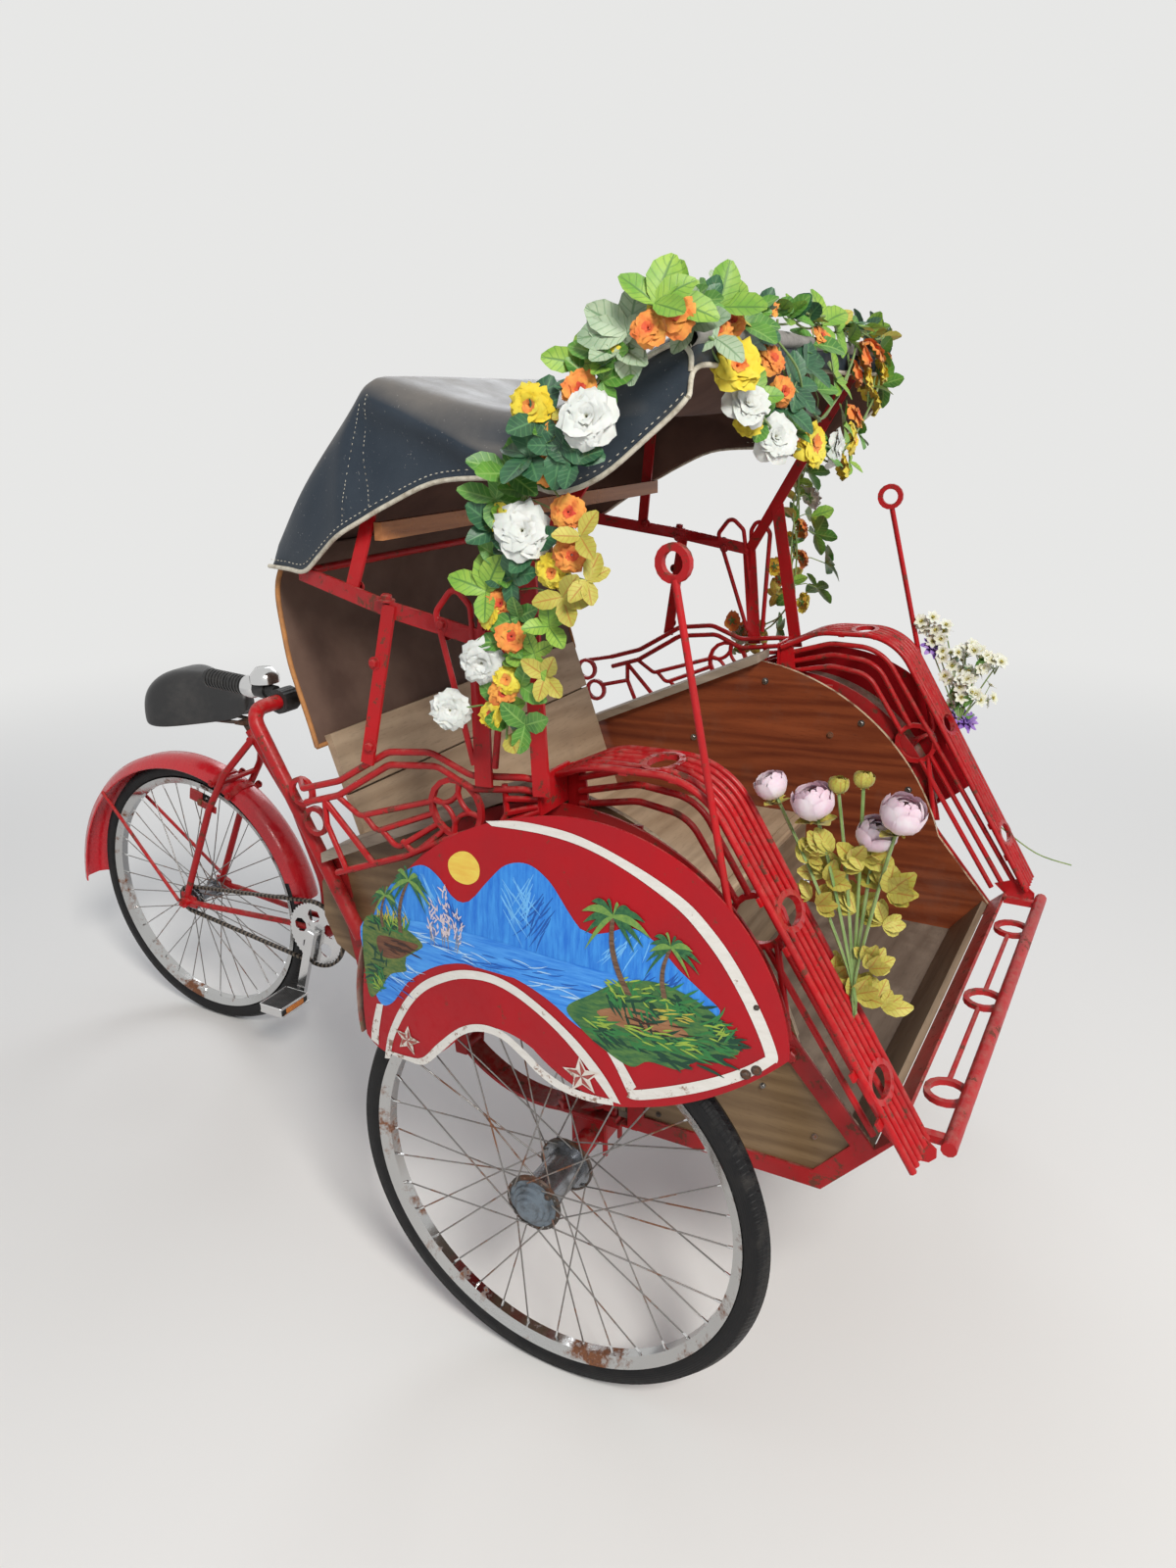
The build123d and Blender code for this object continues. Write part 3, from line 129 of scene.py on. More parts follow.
print("lens", round(camera_data.lens, 2), "mm")

# %% [markdown]
# The floor is one pale sheet that runs far enough to fill every view. Near the vehicle it is lit and takes
# the shadow. Farther out it fades into the flat colour that the camera, chrome and glass see as the world,
# so no horizon shows and nothing of that glow lights the object. Two soft lamps and a pale sky give round
# shading without hard highlights.

# %% Floor and light
def new_material(name):
    """A node material and its main shader."""
    material = bpy.data.materials.new(name)
    material.use_nodes = True
    return material, material.node_tree.nodes["Principled BSDF"]


def seen_directly(tree):
    """1 for rays from the camera, or by way of a mirror or glass."""
    path = tree.nodes.new("ShaderNodeLightPath")
    total = path.outputs["Is Camera Ray"]
    for name in ("Is Glossy Ray", "Is Transmission Ray"):
        both = tree.nodes.new("ShaderNodeMath")
        both.operation = "MAXIMUM"
        tree.links.new(total, both.inputs[0])
        tree.links.new(path.outputs[name], both.inputs[1])
        total = both.outputs[0]
    return total


BACKDROP = (0.80, 0.80, 0.79, 1)
LIT_REACH = (2.0, 5.5)
FLOOR_HALF = 40
floor_mesh = bpy.data.meshes.new("floor")
corners = [(x * FLOOR_HALF, y * FLOOR_HALF, 0) for x, y in ((-1, -1), (1, -1), (1, 1), (-1, 1))]
floor_mesh.from_pydata(corners, [], [(0, 1, 2, 3)])
floor = bpy.data.objects.new("floor", floor_mesh)
bpy.context.scene.collection.objects.link(floor)
floor_paint, floor_shader = new_material("pale_floor")
floor_shader.inputs["Base Color"].default_value = (0.79, 0.785, 0.77, 1)
floor_shader.inputs["Roughness"].default_value = 0.9
floor_tree = floor_paint.node_tree
away = floor_tree.nodes.new("ShaderNodeVectorMath")
away.operation = "LENGTH"
floor_tree.links.new(floor_tree.nodes.new("ShaderNodeNewGeometry").outputs["Position"], away.inputs[0])
fade = floor_tree.nodes.new("ShaderNodeMapRange")
fade.interpolation_type = "SMOOTHSTEP"
fade.inputs["From Min"].default_value, fade.inputs["From Max"].default_value = LIT_REACH
floor_tree.links.new(away.outputs["Value"], fade.inputs["Value"])
share = floor_tree.nodes.new("ShaderNodeMath")
share.operation = "MULTIPLY"
floor_tree.links.new(fade.outputs["Result"], share.inputs[0])
floor_tree.links.new(seen_directly(floor_tree), share.inputs[1])
glow = floor_tree.nodes.new("ShaderNodeEmission")
glow.inputs["Color"].default_value = BACKDROP
join = floor_tree.nodes.new("ShaderNodeMixShader")
floor_tree.links.new(share.outputs[0], join.inputs[0])
floor_tree.links.new(floor_shader.outputs[0], join.inputs[1])
floor_tree.links.new(glow.outputs[0], join.inputs[2])
floor_tree.links.new(join.outputs[0], floor_tree.nodes["Material Output"].inputs["Surface"])
floor_mesh.materials.append(floor_paint)
floor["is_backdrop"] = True

world = bpy.data.worlds.new("studio")
world.use_nodes = True
sky_tree = world.node_tree
sky = sky_tree.nodes["Background"]
sky.inputs["Color"].default_value = (0.93, 0.95, 1.0, 1)
sky.inputs["Strength"].default_value = 0.42
plain = sky_tree.nodes.new("ShaderNodeBackground")
plain.inputs["Color"].default_value = BACKDROP
either = sky_tree.nodes.new("ShaderNodeMixShader")
sky_tree.links.new(seen_directly(sky_tree), either.inputs[0])
sky_tree.links.new(sky.outputs[0], either.inputs[1])
sky_tree.links.new(plain.outputs[0], either.inputs[2])
sky_tree.links.new(either.outputs[0], sky_tree.nodes["World Output"].inputs["Surface"])
bpy.context.scene.world = world


def soft_lamp(name, place, target, size, power, tint):
    """A square area lamp that faces its target."""
    data = bpy.data.lights.new(name, "AREA")
    data.size = size
    data.energy = power
    data.color = tint
    lamp = bpy.data.objects.new(name, data)
    lamp.location = place
    lamp.rotation_euler = (Vector(target) - Vector(place)).to_track_quat("-Z", "Y").to_euler()
    bpy.context.scene.collection.objects.link(lamp)


soft_lamp("key", (-3.6, -4.4, 5.2), (0, -0.2, 0.7), 1.6, 400, (1.0, 0.97, 0.92))
soft_lamp("fill", (4.5, 2.0, 3.5), (0, 0, 0.7), 3.0, 90, (0.92, 0.96, 1.0))
bpy.context.scene.view_settings.view_transform = "Standard"

# %% [markdown]
# Every finish below is a small node network on object coordinates, which are metres here. One helper class
# keeps the networks short: it adds a node, sets its sockets by name and links what is passed in.

# %% A short hand for node networks
class Finish:
    """A material that is built up from named steps."""

    def __init__(self, name, roughness=0.5, metallic=0.0):
        self.material, self.shader = new_material(name)
        self.tree = self.material.node_tree
        self.set("Roughness", roughness)
        self.set("Metallic", metallic)
        self.place = self.tree.nodes.new("ShaderNodeTexCoord").outputs["Object"]

    def set(self, socket, value):
        """A fixed value on the main shader."""
        self.shader.inputs[socket].default_value = value

    def put(self, kind, sockets, **settings):
        """A new node, with its sockets linked or set."""
        node = self.tree.nodes.new(kind)
        for key, value in settings.items():
            setattr(node, key, value)
        for key, value in sockets.items():
            if isinstance(value, bpy.types.NodeSocket):
                self.tree.links.new(value, node.inputs[key])
            else:
                node.inputs[key].default_value = value
        return node

    def noise(self, scale, detail=4.0, rough=0.55, stretch=None):
        """Cloudy variation, 0 to 1, with scale in features per metre."""
        where = self.place
        if stretch:
            where = self.put("ShaderNodeMapping", {"Vector": where, "Scale": stretch}).outputs["Vector"]
        sockets = {"Vector": where, "Scale": scale, "Detail": detail, "Roughness": rough}
        return self.put("ShaderNodeTexNoise", sockets).outputs["Fac"]

    def band(self, value, low, high, to_low=0.0, to_high=1.0):
        """The value spread from low..high to to_low..to_high, and held there."""
        sockets = {"Value": value, "From Min": low, "From Max": high, "To Min": to_low, "To Max": to_high}
        return self.put("ShaderNodeMapRange", sockets).outputs["Result"]

    def clouds(self, low, high, *noise, **more):
        """Noise between two levels, which leaves clear patches."""
        return self.band(self.noise(*noise, **more), low, high)

    def math(self, operation, a, b=0.0):
        return self.put("ShaderNodeMath", {0: a, 1: b}, operation=operation).outputs[0]

    def times(self, a, b):
        return self.math("MULTIPLY", a, b)

    def plus(self, a, b):
        return self.math("ADD", a, b)

    def blend(self, share, first, second):
        """A colour between two colours."""
        node = self.put("ShaderNodeMix", {"Factor": share}, data_type="RGBA")
        for key, value in (("A", first), ("B", second)):
            socket = [s for s in node.inputs if s.name == key and s.type == "RGBA"][0]
            if isinstance(value, bpy.types.NodeSocket):
                self.tree.links.new(value, socket)
            else:
                socket.default_value = (*value, 1.0)
        return [s for s in node.outputs if s.type == "RGBA"][0]

    def colour(self, value):
        self.tree.links.new(value, self.shader.inputs["Base Color"])

    def rough(self, value):
        self.tree.links.new(value, self.shader.inputs["Roughness"])

    def bump(self, height, strength=0.3, distance=0.001):
        node = self.put("ShaderNodeBump", {"Height": height, "Strength": strength, "Distance": distance})
        self.tree.links.new(node.outputs["Normal"], self.shader.inputs["Normal"])

    def waves_y(self, scale):
        """Even waves along Y."""
        sockets = {"Vector": self.place, "Scale": scale}
        return self.put("ShaderNodeTexWave", sockets, bands_direction="Y").outputs["Fac"]

    def parts(self, vector):
        """The X, Y and Z of a vector."""
        return self.put("ShaderNodeSeparateXYZ", {"Vector": vector}).outputs

    def looks(self, axis):
        """How much a face looks along an axis, -1 to 1."""
        return self.parts(self.put("ShaderNodeNewGeometry", {}).outputs["Normal"])[axis]


def mottled(name, roughness, clouds, first, second, grain, relief, metallic=0.0):
    """A material of two tones in clouds, over a fine grain in relief."""
    f = Finish(name, roughness, metallic)
    f.colour(f.blend(f.clouds(*clouds), first, second))
    f.bump(f.noise(*grain), *relief)
    return f.material


print("finish helper ready")

# %% [markdown]
# The red iron has been painted by hand more than once. It is strong where it is sheltered, faded and dusty
# on what faces up, and worn through to brown rust in specks. Three noises of different size carry that: a
# broad one for the fading, a fine one for dust, and a sharp one for the rust.

# %% Red paint on rods and irons
def red_paint(name, fresh, faded, dust=0.35, rust=0.58, roughness=0.42, gloss=0.22):
    """Hand painted red with fading, dust on top faces and specks of rust."""
    f = Finish(name, roughness)
    cloud = f.clouds(0.35, 0.7, 9.0, 5.0)
    paint = f.blend(cloud, fresh, faded)
    upward = f.band(f.looks("Z"), 0.15, 0.95)
    fine = f.clouds(0.42, 0.7, 60.0, 6.0, 0.65)
    dusty = f.times(f.times(upward, fine), dust)
    paint = f.blend(dusty, paint, (0.36, 0.25, 0.20))
    specks = f.clouds(rust, rust + 0.05, 38.0, 8.0, 0.75)
    paint = f.blend(f.times(specks, 0.85), paint, (0.10, 0.045, 0.025))
    f.colour(paint)
    f.rough(f.band(f.plus(fine, specks), 0.0, 1.4, roughness - 0.08, roughness + 0.35))
    f.bump(f.plus(f.noise(220.0, 3.0), f.times(specks, -1.5)), 0.25, 0.0006)
    f.set("Specular IOR Level", gloss)
    f.set("Coat Weight", 0.3 * gloss)
    f.set("Coat Roughness", 0.25)
    return f.material


red_rod = red_paint("red_rod", (0.47, 0.008, 0.012), (0.34, 0.014, 0.016), dust=0.45, rust=0.565,
                    roughness=0.36)
red_iron = red_paint("red_iron", (0.40, 0.009, 0.012), (0.29, 0.022, 0.022), dust=0.55, rust=0.565)
red_sheet = red_paint("red_sheet", (0.40, 0.005, 0.011), (0.33, 0.008, 0.014), dust=0.25, rust=0.62)
print("red finishes", red_rod.name, red_iron.name, red_sheet.name)

# %% [markdown]
# The rear mudguard is newer and glossier than the rest, so it gets the same recipe with less wear and more
# gloss. The same recipe in near-black makes the oily dark iron.

# %% Glossy red and dark iron
glossy_red = red_paint("glossy_red", (0.58, 0.012, 0.022), (0.50, 0.016, 0.025), dust=0.12, rust=0.72,
                       roughness=0.25, gloss=0.5)
dark_iron = red_paint("dark_iron", (0.05, 0.045, 0.04), (0.08, 0.06, 0.05), dust=0.5, rust=0.5,
                      roughness=0.55)
print("more paints", glossy_red.name, dark_iron.name)

# %% [markdown]
# The boards are thin plywood. Inside the cabin they carry a deep red-brown varnish, outside they have
# faded to a pale tan, and their sawn edges are bare and cream. Grain is a noise that is stretched along
# the board, once broad for the figure and once fine for the pores, and scuffs lighten it where feet and
# bags rub.

# %% Plywood and boards
def board(name, dark, light, stretch, scuff=0.3, roughness=0.5, outside=None):
    """Varnished wood with its grain along one way; outside is a second pair of colours for outward faces."""
    f = Finish(name, roughness)
    figure = f.noise(2.2, 6.0, 0.6, stretch=stretch)
    warped = f.put("ShaderNodeMapping", {"Vector": f.place, "Scale": stretch}).outputs["Vector"]
    rings = f.put("ShaderNodeTexWave", {"Vector": warped, "Scale": 2.3, "Distortion": 9.0, "Detail": 4.0,
                                        "Detail Scale": 1.1}, bands_direction="DIAGONAL").outputs["Fac"]
    grain = f.band(f.plus(f.times(rings, 0.25), f.times(figure, 0.9)), 0.28, 0.92)
    wood = f.blend(grain, dark, light)
    if outside:
        sideways = f.times(f.looks("X"), f.math("SIGN", f.parts(f.place)["X"]))
        wood = f.blend(f.band(sideways, -0.6, -0.4), wood, (0.58, 0.47, 0.31))
        wood = f.blend(f.band(sideways, 0.4, 0.6), wood, f.blend(grain, *outside))
        chips = f.times(f.band(f.math("ABSOLUTE", sideways), 0.5, 0.4), f.clouds(0.5, 0.6, 30.0, 6.0, 0.7))
        wood = f.blend(chips, wood, (0.20, 0.10, 0.06))
    pores = f.band(f.noise(14.0, 3.0, 0.7, stretch=tuple(4.0 * v for v in stretch)), 0.55, 0.75)
    wood = f.blend(f.times(pores, 0.4), wood, tuple(0.35 * v for v in dark))
    worn = f.clouds(0.52, 0.75, 7.0, 8.0, 0.7)
    grime = f.clouds(0.50, 0.72, 3.5, 7.0, 0.65)
    wood = f.blend(f.times(grime, 0.35), wood, tuple(0.5 * v for v in dark))
    wood = f.blend(f.times(worn, scuff), wood, (0.42, 0.33, 0.25))
    f.colour(wood)
    f.rough(f.band(worn, 0.0, 1.0, roughness - 0.1, roughness + 0.25))
    f.bump(f.plus(pores, figure), 0.2, 0.0005)
    f.set("Specular IOR Level", 0.3)
    return f.material


side_ply = board("side_ply", (0.11, 0.020, 0.009), (0.31, 0.078, 0.028), (2.0, 0.55, 9.0), 0.10, 0.40,
                 outside=((0.13, 0.075, 0.036), (0.28, 0.185, 0.095)))
cap_board = board("cap_board", (0.26, 0.21, 0.16), (0.46, 0.39, 0.31), (6.0, 0.6, 6.0), 0.5, 0.75)
seat_ply = board("seat_ply", (0.35, 0.245, 0.155), (0.60, 0.455, 0.31), (0.5, 5.0, 5.0), 0.30, 0.6)
floor_ply = board("floor_ply", (0.105, 0.075, 0.055), (0.22, 0.17, 0.13), (0.6, 5.0, 5.0), 0.5, 0.75)
toe_ply = board("toe_ply", (0.14, 0.095, 0.058), (0.32, 0.24, 0.16), (0.5, 6.0, 6.0), 0.3, 0.65)
slat_wood = board("slat_wood", (0.30, 0.10, 0.03), (0.52, 0.21, 0.07), (0.5, 9.0, 9.0), 0.12, 0.35)
print("wood finishes", side_ply.name, cap_board.name, seat_ply.name, floor_ply.name, toe_ply.name,
      slat_wood.name)

# %% [markdown]
# The wheels are old chrome with rust creeping in from the spoke holes, black rubber with grey dust, grey
# hubs with grease, and dull spokes. Rust is a sharp noise that turns the metal brown and takes its shine
# at the same time.

# %% Wheel finishes
def plated(name, metal, rust_at, roughness=0.22):
    """Chrome or bare steel with rust patches."""
    f = Finish(name, roughness, 1.0)
    patches = f.band(f.plus(f.noise(12.0, 8.0, 0.72), f.times(f.noise(90.0, 4.0), 0.2)),
                     rust_at, rust_at + 0.09)
    tint = f.blend(f.clouds(0.4, 0.7, 300.0, 3.0), (0.20, 0.075, 0.03), (0.11, 0.045, 0.025))
    f.colour(f.blend(patches, metal, tint))
    f.tree.links.new(f.band(patches, 0.0, 1.0, 1.0, 0.1), f.shader.inputs["Metallic"])
    f.rough(f.band(f.plus(patches, f.times(f.noise(40.0, 4.0), 0.5)), 0.2, 1.3, roughness, 0.8))
    f.bump(f.noise(160.0, 5.0), 0.15, 0.0005)
    return f.material


rim_chrome = plated("rim_chrome", (0.50, 0.50, 0.495), 0.635, 0.10)
spoke_steel = plated("spoke_steel", (0.27, 0.26, 0.25), 0.62, 0.32)
bright_steel = plated("chrome", (0.68, 0.68, 0.68), 0.78, 0.14)


def tyre_finish(wheel):
    """Black rubber with side ribs and a tread that run round the tyre's own axle."""
    f = Finish("tyre_rubber_" + wheel, 0.7)
    corners = [Vector(c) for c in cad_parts["tyre_" + wheel].bound_box]
    centre = sum(corners, Vector()) / 8
    radius = max(c.z for c in corners) - centre.z
    from_axle = f.put("ShaderNodeVectorMath", {0: f.place, 1: centre}, operation="SUBTRACT").outputs["Vector"]
    parts = f.parts(from_axle)
    turn = f.math("ARCTAN2", parts["Z"], parts["Y"])
    reach = f.math("SQRT", f.plus(f.times(parts["Y"], parts["Y"]), f.times(parts["Z"], parts["Z"])))
    shoulder = f.band(reach, radius - 0.014, radius - 0.011)
    ribs = f.times(f.band(f.math("SINE", f.times(turn, 210.0)), -0.3, 0.3), shoulder)
    slant = f.plus(f.times(turn, 140.0), f.times(f.math("ABSOLUTE", parts["X"]), 420.0))
    crown = f.times(f.band(f.math("SINE", slant), -0.3, 0.3), f.band(reach, radius - 0.005, radius - 0.003))
    rings = f.times(f.band(f.math("SINE", f.times(reach, 1900.0)), 0.4, 0.9), 0.3)
    dust = f.clouds(0.45, 0.72, 26.0, 8.0, 0.7)
    low = f.times(dust, f.plus(f.times(shoulder, 0.25), 0.18))
    f.colour(f.blend(low, (0.007, 0.007, 0.008), (0.085, 0.078, 0.07)))
    f.set("Specular IOR Level", 0.22)
    f.rough(f.band(dust, 0.0, 1.0, 0.45, 0.8))
    f.bump(f.plus(f.plus(ribs, crown), rings), 0.6, 0.0012)
    return f.material


chain_finish = Finish("chain_iron", 0.45, 0.7)
links = chain_finish.waves_y(24.7)
chain_finish.colour(chain_finish.blend(chain_finish.band(links, 0.3, 0.7), (0.02, 0.017, 0.014),
                                       (0.16, 0.13, 0.10)))
chain_finish.bump(links, 0.8, 0.002)

grey = Finish("hub_grey", 0.3, 0.85)
grease = grey.clouds(0.5, 0.7, 30.0, 6.0, 0.7)
grey.colour(grey.blend(grease, (0.25, 0.26, 0.28), (0.06, 0.055, 0.05)))
grey.rough(grey.band(grease, 0.0, 1.0, 0.22, 0.6))
grey.bump(grey.noise(120.0, 4.0), 0.2, 0.0005)
hub_grey = grey.material

grip = Finish("black_rubber", 0.6)
ribs = grip.waves_y(62.0)
grip.colour(grip.blend(grip.clouds(0.4, 0.8, 50.0, 5.0), (0.014, 0.014, 0.014), (0.05, 0.05, 0.05)))
grip.bump(ribs, 0.6, 0.001)
black_rubber = grip.material
print("wheel finishes done")

# %% [markdown]
# The inner mudguards lie under open sky, so their paint has gone under grey-brown dust and green moss.

# %% Mossy mudguard tops
moss = Finish("dusty_sheet", 0.8)
broad = moss.clouds(0.38, 0.62, 11.0, 7.0, 0.7)
speck = moss.clouds(0.45, 0.62, 80.0, 6.0, 0.75)
under = moss.blend(broad, (0.26, 0.05, 0.04), (0.30, 0.26, 0.21))
green = moss.times(moss.clouds(0.53, 0.62, 23.0, 8.0, 0.75), 0.8)
moss.colour(moss.blend(green, moss.blend(moss.times(speck, 0.5), under, (0.16, 0.13, 0.11)),
                       (0.13, 0.14, 0.06)))
moss.bump(moss.plus(speck, broad), 0.5, 0.001)
dusty_sheet = moss.material
print("moss done")

# %% [markdown]
# The hood is dark navy vinyl with the fine weave of its backing. Dust and sun have bleached what faces up,
# and that tan is also a painted highlight on upward faces and folds; fine pale specks lie over all of it.

# %% Hood vinyl and curtain cloth
cloth = Finish("hood_cloth", 0.5)
film = cloth.clouds(0.35, 0.75, 6.0, 8.0, 0.7)
# Upward faces take a paler tan: sun bleaching, and also a painted highlight where light falls on them.
bleach_and_painted_highlight = cloth.times(cloth.band(cloth.looks("Z"), 0.30, 0.98), cloth.band(film, 0.0, 1.0, 0.55, 1.0))
side_tone = cloth.blend(cloth.times(film, 0.6), (0.019, 0.029, 0.043), (0.052, 0.066, 0.084))
bleached_and_lit_tone = cloth.blend(cloth.clouds(0.35, 0.7, 2.6, 5.0), (0.13, 0.125, 0.125), (0.26, 0.225, 0.185))
dots = cloth.clouds(0.66, 0.70, 150.0, 3.0, 0.8)
hood_colour = cloth.blend(bleach_and_painted_highlight, side_tone, bleached_and_lit_tone)
cloth.colour(cloth.blend(cloth.times(dots, 0.35), hood_colour, (0.45, 0.44, 0.42)))
cloth.rough(cloth.band(film, 0.0, 1.0, 0.40, 0.68))
cloth.set("Specular IOR Level", 0.3)
cloth.bump(cloth.plus(cloth.noise(420.0, 3.0), cloth.times(cloth.noise(16.0, 4.0), 5.0)), 0.3, 0.0006)
hood_vinyl = cloth.material

curtain_cloth = mottled("curtain_cloth", 0.85, (0.35, 0.7, 9.0, 6.0), (0.085, 0.045, 0.032),
                        (0.15, 0.09, 0.065), (700.0, 2.0), (0.3, 0.0005))
print("cloth finishes done")

# %% [markdown]
# A CAD node whose shape is right stays as it is and only takes a finish. The table says which finish goes
# where.

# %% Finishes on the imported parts
NODE_FINISH = {}
for finish, names in (
    (red_iron, "cabin_frame front_axle springs guard_hoops"),
    (red_rod, "bow_rail_left bow_rail_right arm_rail_left arm_rail_right bumper eye_rods hood_irons"),
    (red_rod, "handle_hoop rear_frame guard_stays"),
    (red_sheet, "skirt_left skirt_right"),
    (glossy_red, "rear_mudguard"),
    (dusty_sheet, "mudguard_left mudguard_right"),
    (dark_iron, "saddle_rails"),
    (side_ply, "side_panel_left side_panel_right"),
    (floor_ply, "floor_board"),
    (toe_ply, "slope_board seat_riser"),
    (seat_ply, "seat_board backrest"),
    (cap_board, "arm_boards"),
    (slat_wood, "hood_slat"),
    (hood_vinyl, "hood_canopy"),
    (curtain_cloth, "hood_curtain"),
    (bright_steel, "bell crank"),
    (black_rubber, "handle_grip saddle pedal_left pedal_right garland posy_left posy_right"),
    (chain_finish.material, "chain"),
    (rim_chrome, "rim_left rim_right rim_rear"),
    (spoke_steel, "spokes_left spokes_right spokes_rear"),
    (hub_grey, "hub_left hub_right hub_rear"),
    (tyre_finish("left"), "tyre_left"),
    (tyre_finish("right"), "tyre_right"),
    (tyre_finish("rear"), "tyre_rear"),
):
    NODE_FINISH.update(dict.fromkeys(names.split(), finish))

for name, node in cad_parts.items():
    node.data.materials.clear()
    node.data.materials.append(NODE_FINISH[name])
print("nodes with a finish", len(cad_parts))

# %% [markdown]
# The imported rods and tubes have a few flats, which keeps the model light. On the real rails they are
# round. A modifier can shade them round without touching their meshes: it welds the corners, drops the
# stored normals and smooths across every edge that turns less than about sixty degrees. The ends and the
# plates keep their hard edges.

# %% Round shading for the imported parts
def round_shading(limit):
    """A node group that shades a mesh smooth, apart from edges sharper than the limit."""
    group = bpy.data.node_groups.new("round_shading", "GeometryNodeTree")
    group.interface.new_socket("Mesh", in_out="INPUT", socket_type="NodeSocketGeometry")
    group.interface.new_socket("Mesh", in_out="OUTPUT", socket_type="NodeSocketGeometry")
    add = group.nodes.new
    start, end = add("NodeGroupInput"), add("NodeGroupOutput")
    weld = add("GeometryNodeMergeByDistance")
    weld.inputs["Distance"].default_value = 0.00002
    drop = add("GeometryNodeRemoveAttribute")
    drop.inputs["Name"].default_value = "custom_normal"
    faces, edges = add("GeometryNodeSetShadeSmooth"), add("GeometryNodeSetShadeSmooth")
    edges.domain = "EDGE"
    edges.inputs["Shade Smooth"].default_value = False
    angle = add("GeometryNodeInputMeshEdgeAngle")
    sharper = add("FunctionNodeCompare")
    sharper.data_type, sharper.operation = "FLOAT", "GREATER_THAN"
    sharper.inputs[1].default_value = radians(limit)
    link = group.links.new
    link(start.outputs[0], weld.inputs[0])
    link(weld.outputs[0], drop.inputs[0])
    link(drop.outputs[0], faces.inputs[0])
    link(faces.outputs[0], edges.inputs[0])
    link(angle.outputs["Unsigned Angle"], sharper.inputs[0])
    link(sharper.outputs[0], edges.inputs["Selection"])
    link(edges.outputs[0], end.inputs[0])
    return group


rounder = round_shading(64.0)
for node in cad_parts.values():
    node.modifiers.new("round_shading", "NODES").node_group = rounder
print("shaded round:", len(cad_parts), "nodes")

# %% [markdown]
# New pieces are made in three ways only: a skin through rows of points, a tube along a line, and small
# repeated shapes that are joined into one mesh. These helpers keep each later cell short. A smooth line
# through a few points is a Catmull-Rom spline, which passes through every point that was measured.

# %% Helpers for new pieces
def smooth_line(points, steps=6, closed=False):
    """Points on a smooth line through the given ones."""
    points = [Vector(p) for p in points]
    count = len(points)
    line = []
    for i in range(count if closed else count - 1):
        if closed:
            a, b, c, d = (points[(i + k) % count] for k in (-1, 0, 1, 2))
        else:
            a, b, c, d = points[max(i - 1, 0)], points[i], points[i + 1], points[min(i + 2, count - 1)]
        for k in range(steps):
            t = k / steps
            line.append(0.5 * (2 * b + (c - a) * t + (2 * a - 5 * b + 4 * c - d) * t ** 2
                               + (3 * b - 3 * c + d - a) * t ** 3))
    if not closed:
        line.append(points[-1])
    return line


def finished_piece(name, data, body, materials, replaces=()):
    """Puts a mesh or curve in the scene as a piece that rides on a body."""
    for material in materials:
        data.materials.append(material)
    piece = bpy.data.objects.new(name, data)
    bpy.context.scene.collection.objects.link(piece)
    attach(piece, body)
    if replaces:
        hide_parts(*replaces)
    return piece


def skin(name, rows, wrap=False):
    """A mesh of quads through rows of points; wrap joins each row's end to its start."""
    width = len(rows[0])
    mesh = bpy.data.meshes.new(name)
    faces = []
    for i in range(len(rows) - 1):
        for j in range(width if wrap else width - 1):
            k = (j + 1) % width
            faces.append((i * width + j, i * width + k, (i + 1) * width + k, (i + 1) * width + j))
    mesh.from_pydata([tuple(p) for row in rows for p in row], [], faces)
    mesh.polygons.foreach_set("use_smooth", [True] * len(faces))
    return mesh


def tube(name, lines, radius):
    """One curve object's data, with a round tube along each line."""
    data = bpy.data.curves.new(name, "CURVE")
    data.dimensions = "3D"
    data.bevel_depth = radius
    data.bevel_resolution = 2
    data.use_fill_caps = True
    for line in lines:
        spline = data.splines.new("POLY")
        spline.points.add(len(line) - 1)
        for point, place in zip(spline.points, line):
            point.co = (*place, 1.0)
        spline.use_smooth = True
    return data


def mesh_of(name, bm):
    """A mesh made from a bmesh, which is then let go."""
    mesh = bpy.data.meshes.new(name)
    bm.to_mesh(mesh)
    bm.free()
    return mesh


def side_line(points, steps, closed=False):
    """A smooth line in the vehicle's middle plane through points (y, z)."""
    return smooth_line([(0, y, z) for y, z in points], steps, closed)


def spun(angle):
    """A turn about a frame's own Z."""
    return Matrix.Rotation(angle, 4, "Z")


def facing(place, direction, spin=0.0):
    """A frame at a place whose Z looks along the direction."""
    turned = Vector(direction).normalized().to_track_quat("Z", "Y").to_matrix().to_4x4()
    return Matrix.Translation(place) @ turned @ spun(spin)


def mirrored(points):
    """The same points on the other side of the vehicle."""
    return [Vector((-p[0], p[1], p[2])) for p in points]


print("helpers ready")

# %% [markdown]
# The hood is one dark vinyl sheet over two bows. It rises to the front bow, dips behind it, rises again to
# the rear bow and falls steeply to the seat's back, and its sides hang as shallow flaps with a wavy lower
# edge. A cloth simulation could find such a shape, but the photograph gives it directly, so the sheet is a
# skin through measured cross sections, with a sag between the bows, and a subdivision smooths it.

# %% Hood sheet
HOOD_STATIONS = metres(((-178, 1538, -178, 1500), (-176, 1566, -174, 1494), (-158, 1581, -160, 1480),
                        (-128, 1572, -128, 1453), (-50, 1525, -70, 1408), (30, 1490, -10, 1388),
                        (75, 1489, 50, 1400), (120, 1494, 110, 1404), (200, 1511, 190, 1397),
                        (285, 1535, 265, 1367), (318, 1533, 310, 1345), (365, 1490, 360, 1320),
                        (450, 1399, 410, 1287), (530, 1317, 450, 1262), (545, 1293, 495, 1262),
                        (548, 1262, 547.5, 1262)))
HOOD_TOP_Z = 1.590
HOOD_TOP_HALF = 0.452
HOOD_SPREAD = 0.2073
HOOD_PLAN = metres(((-200, 532), (263, 527), (475, 476), (560, 452)))
SIDE_ROWS = 7


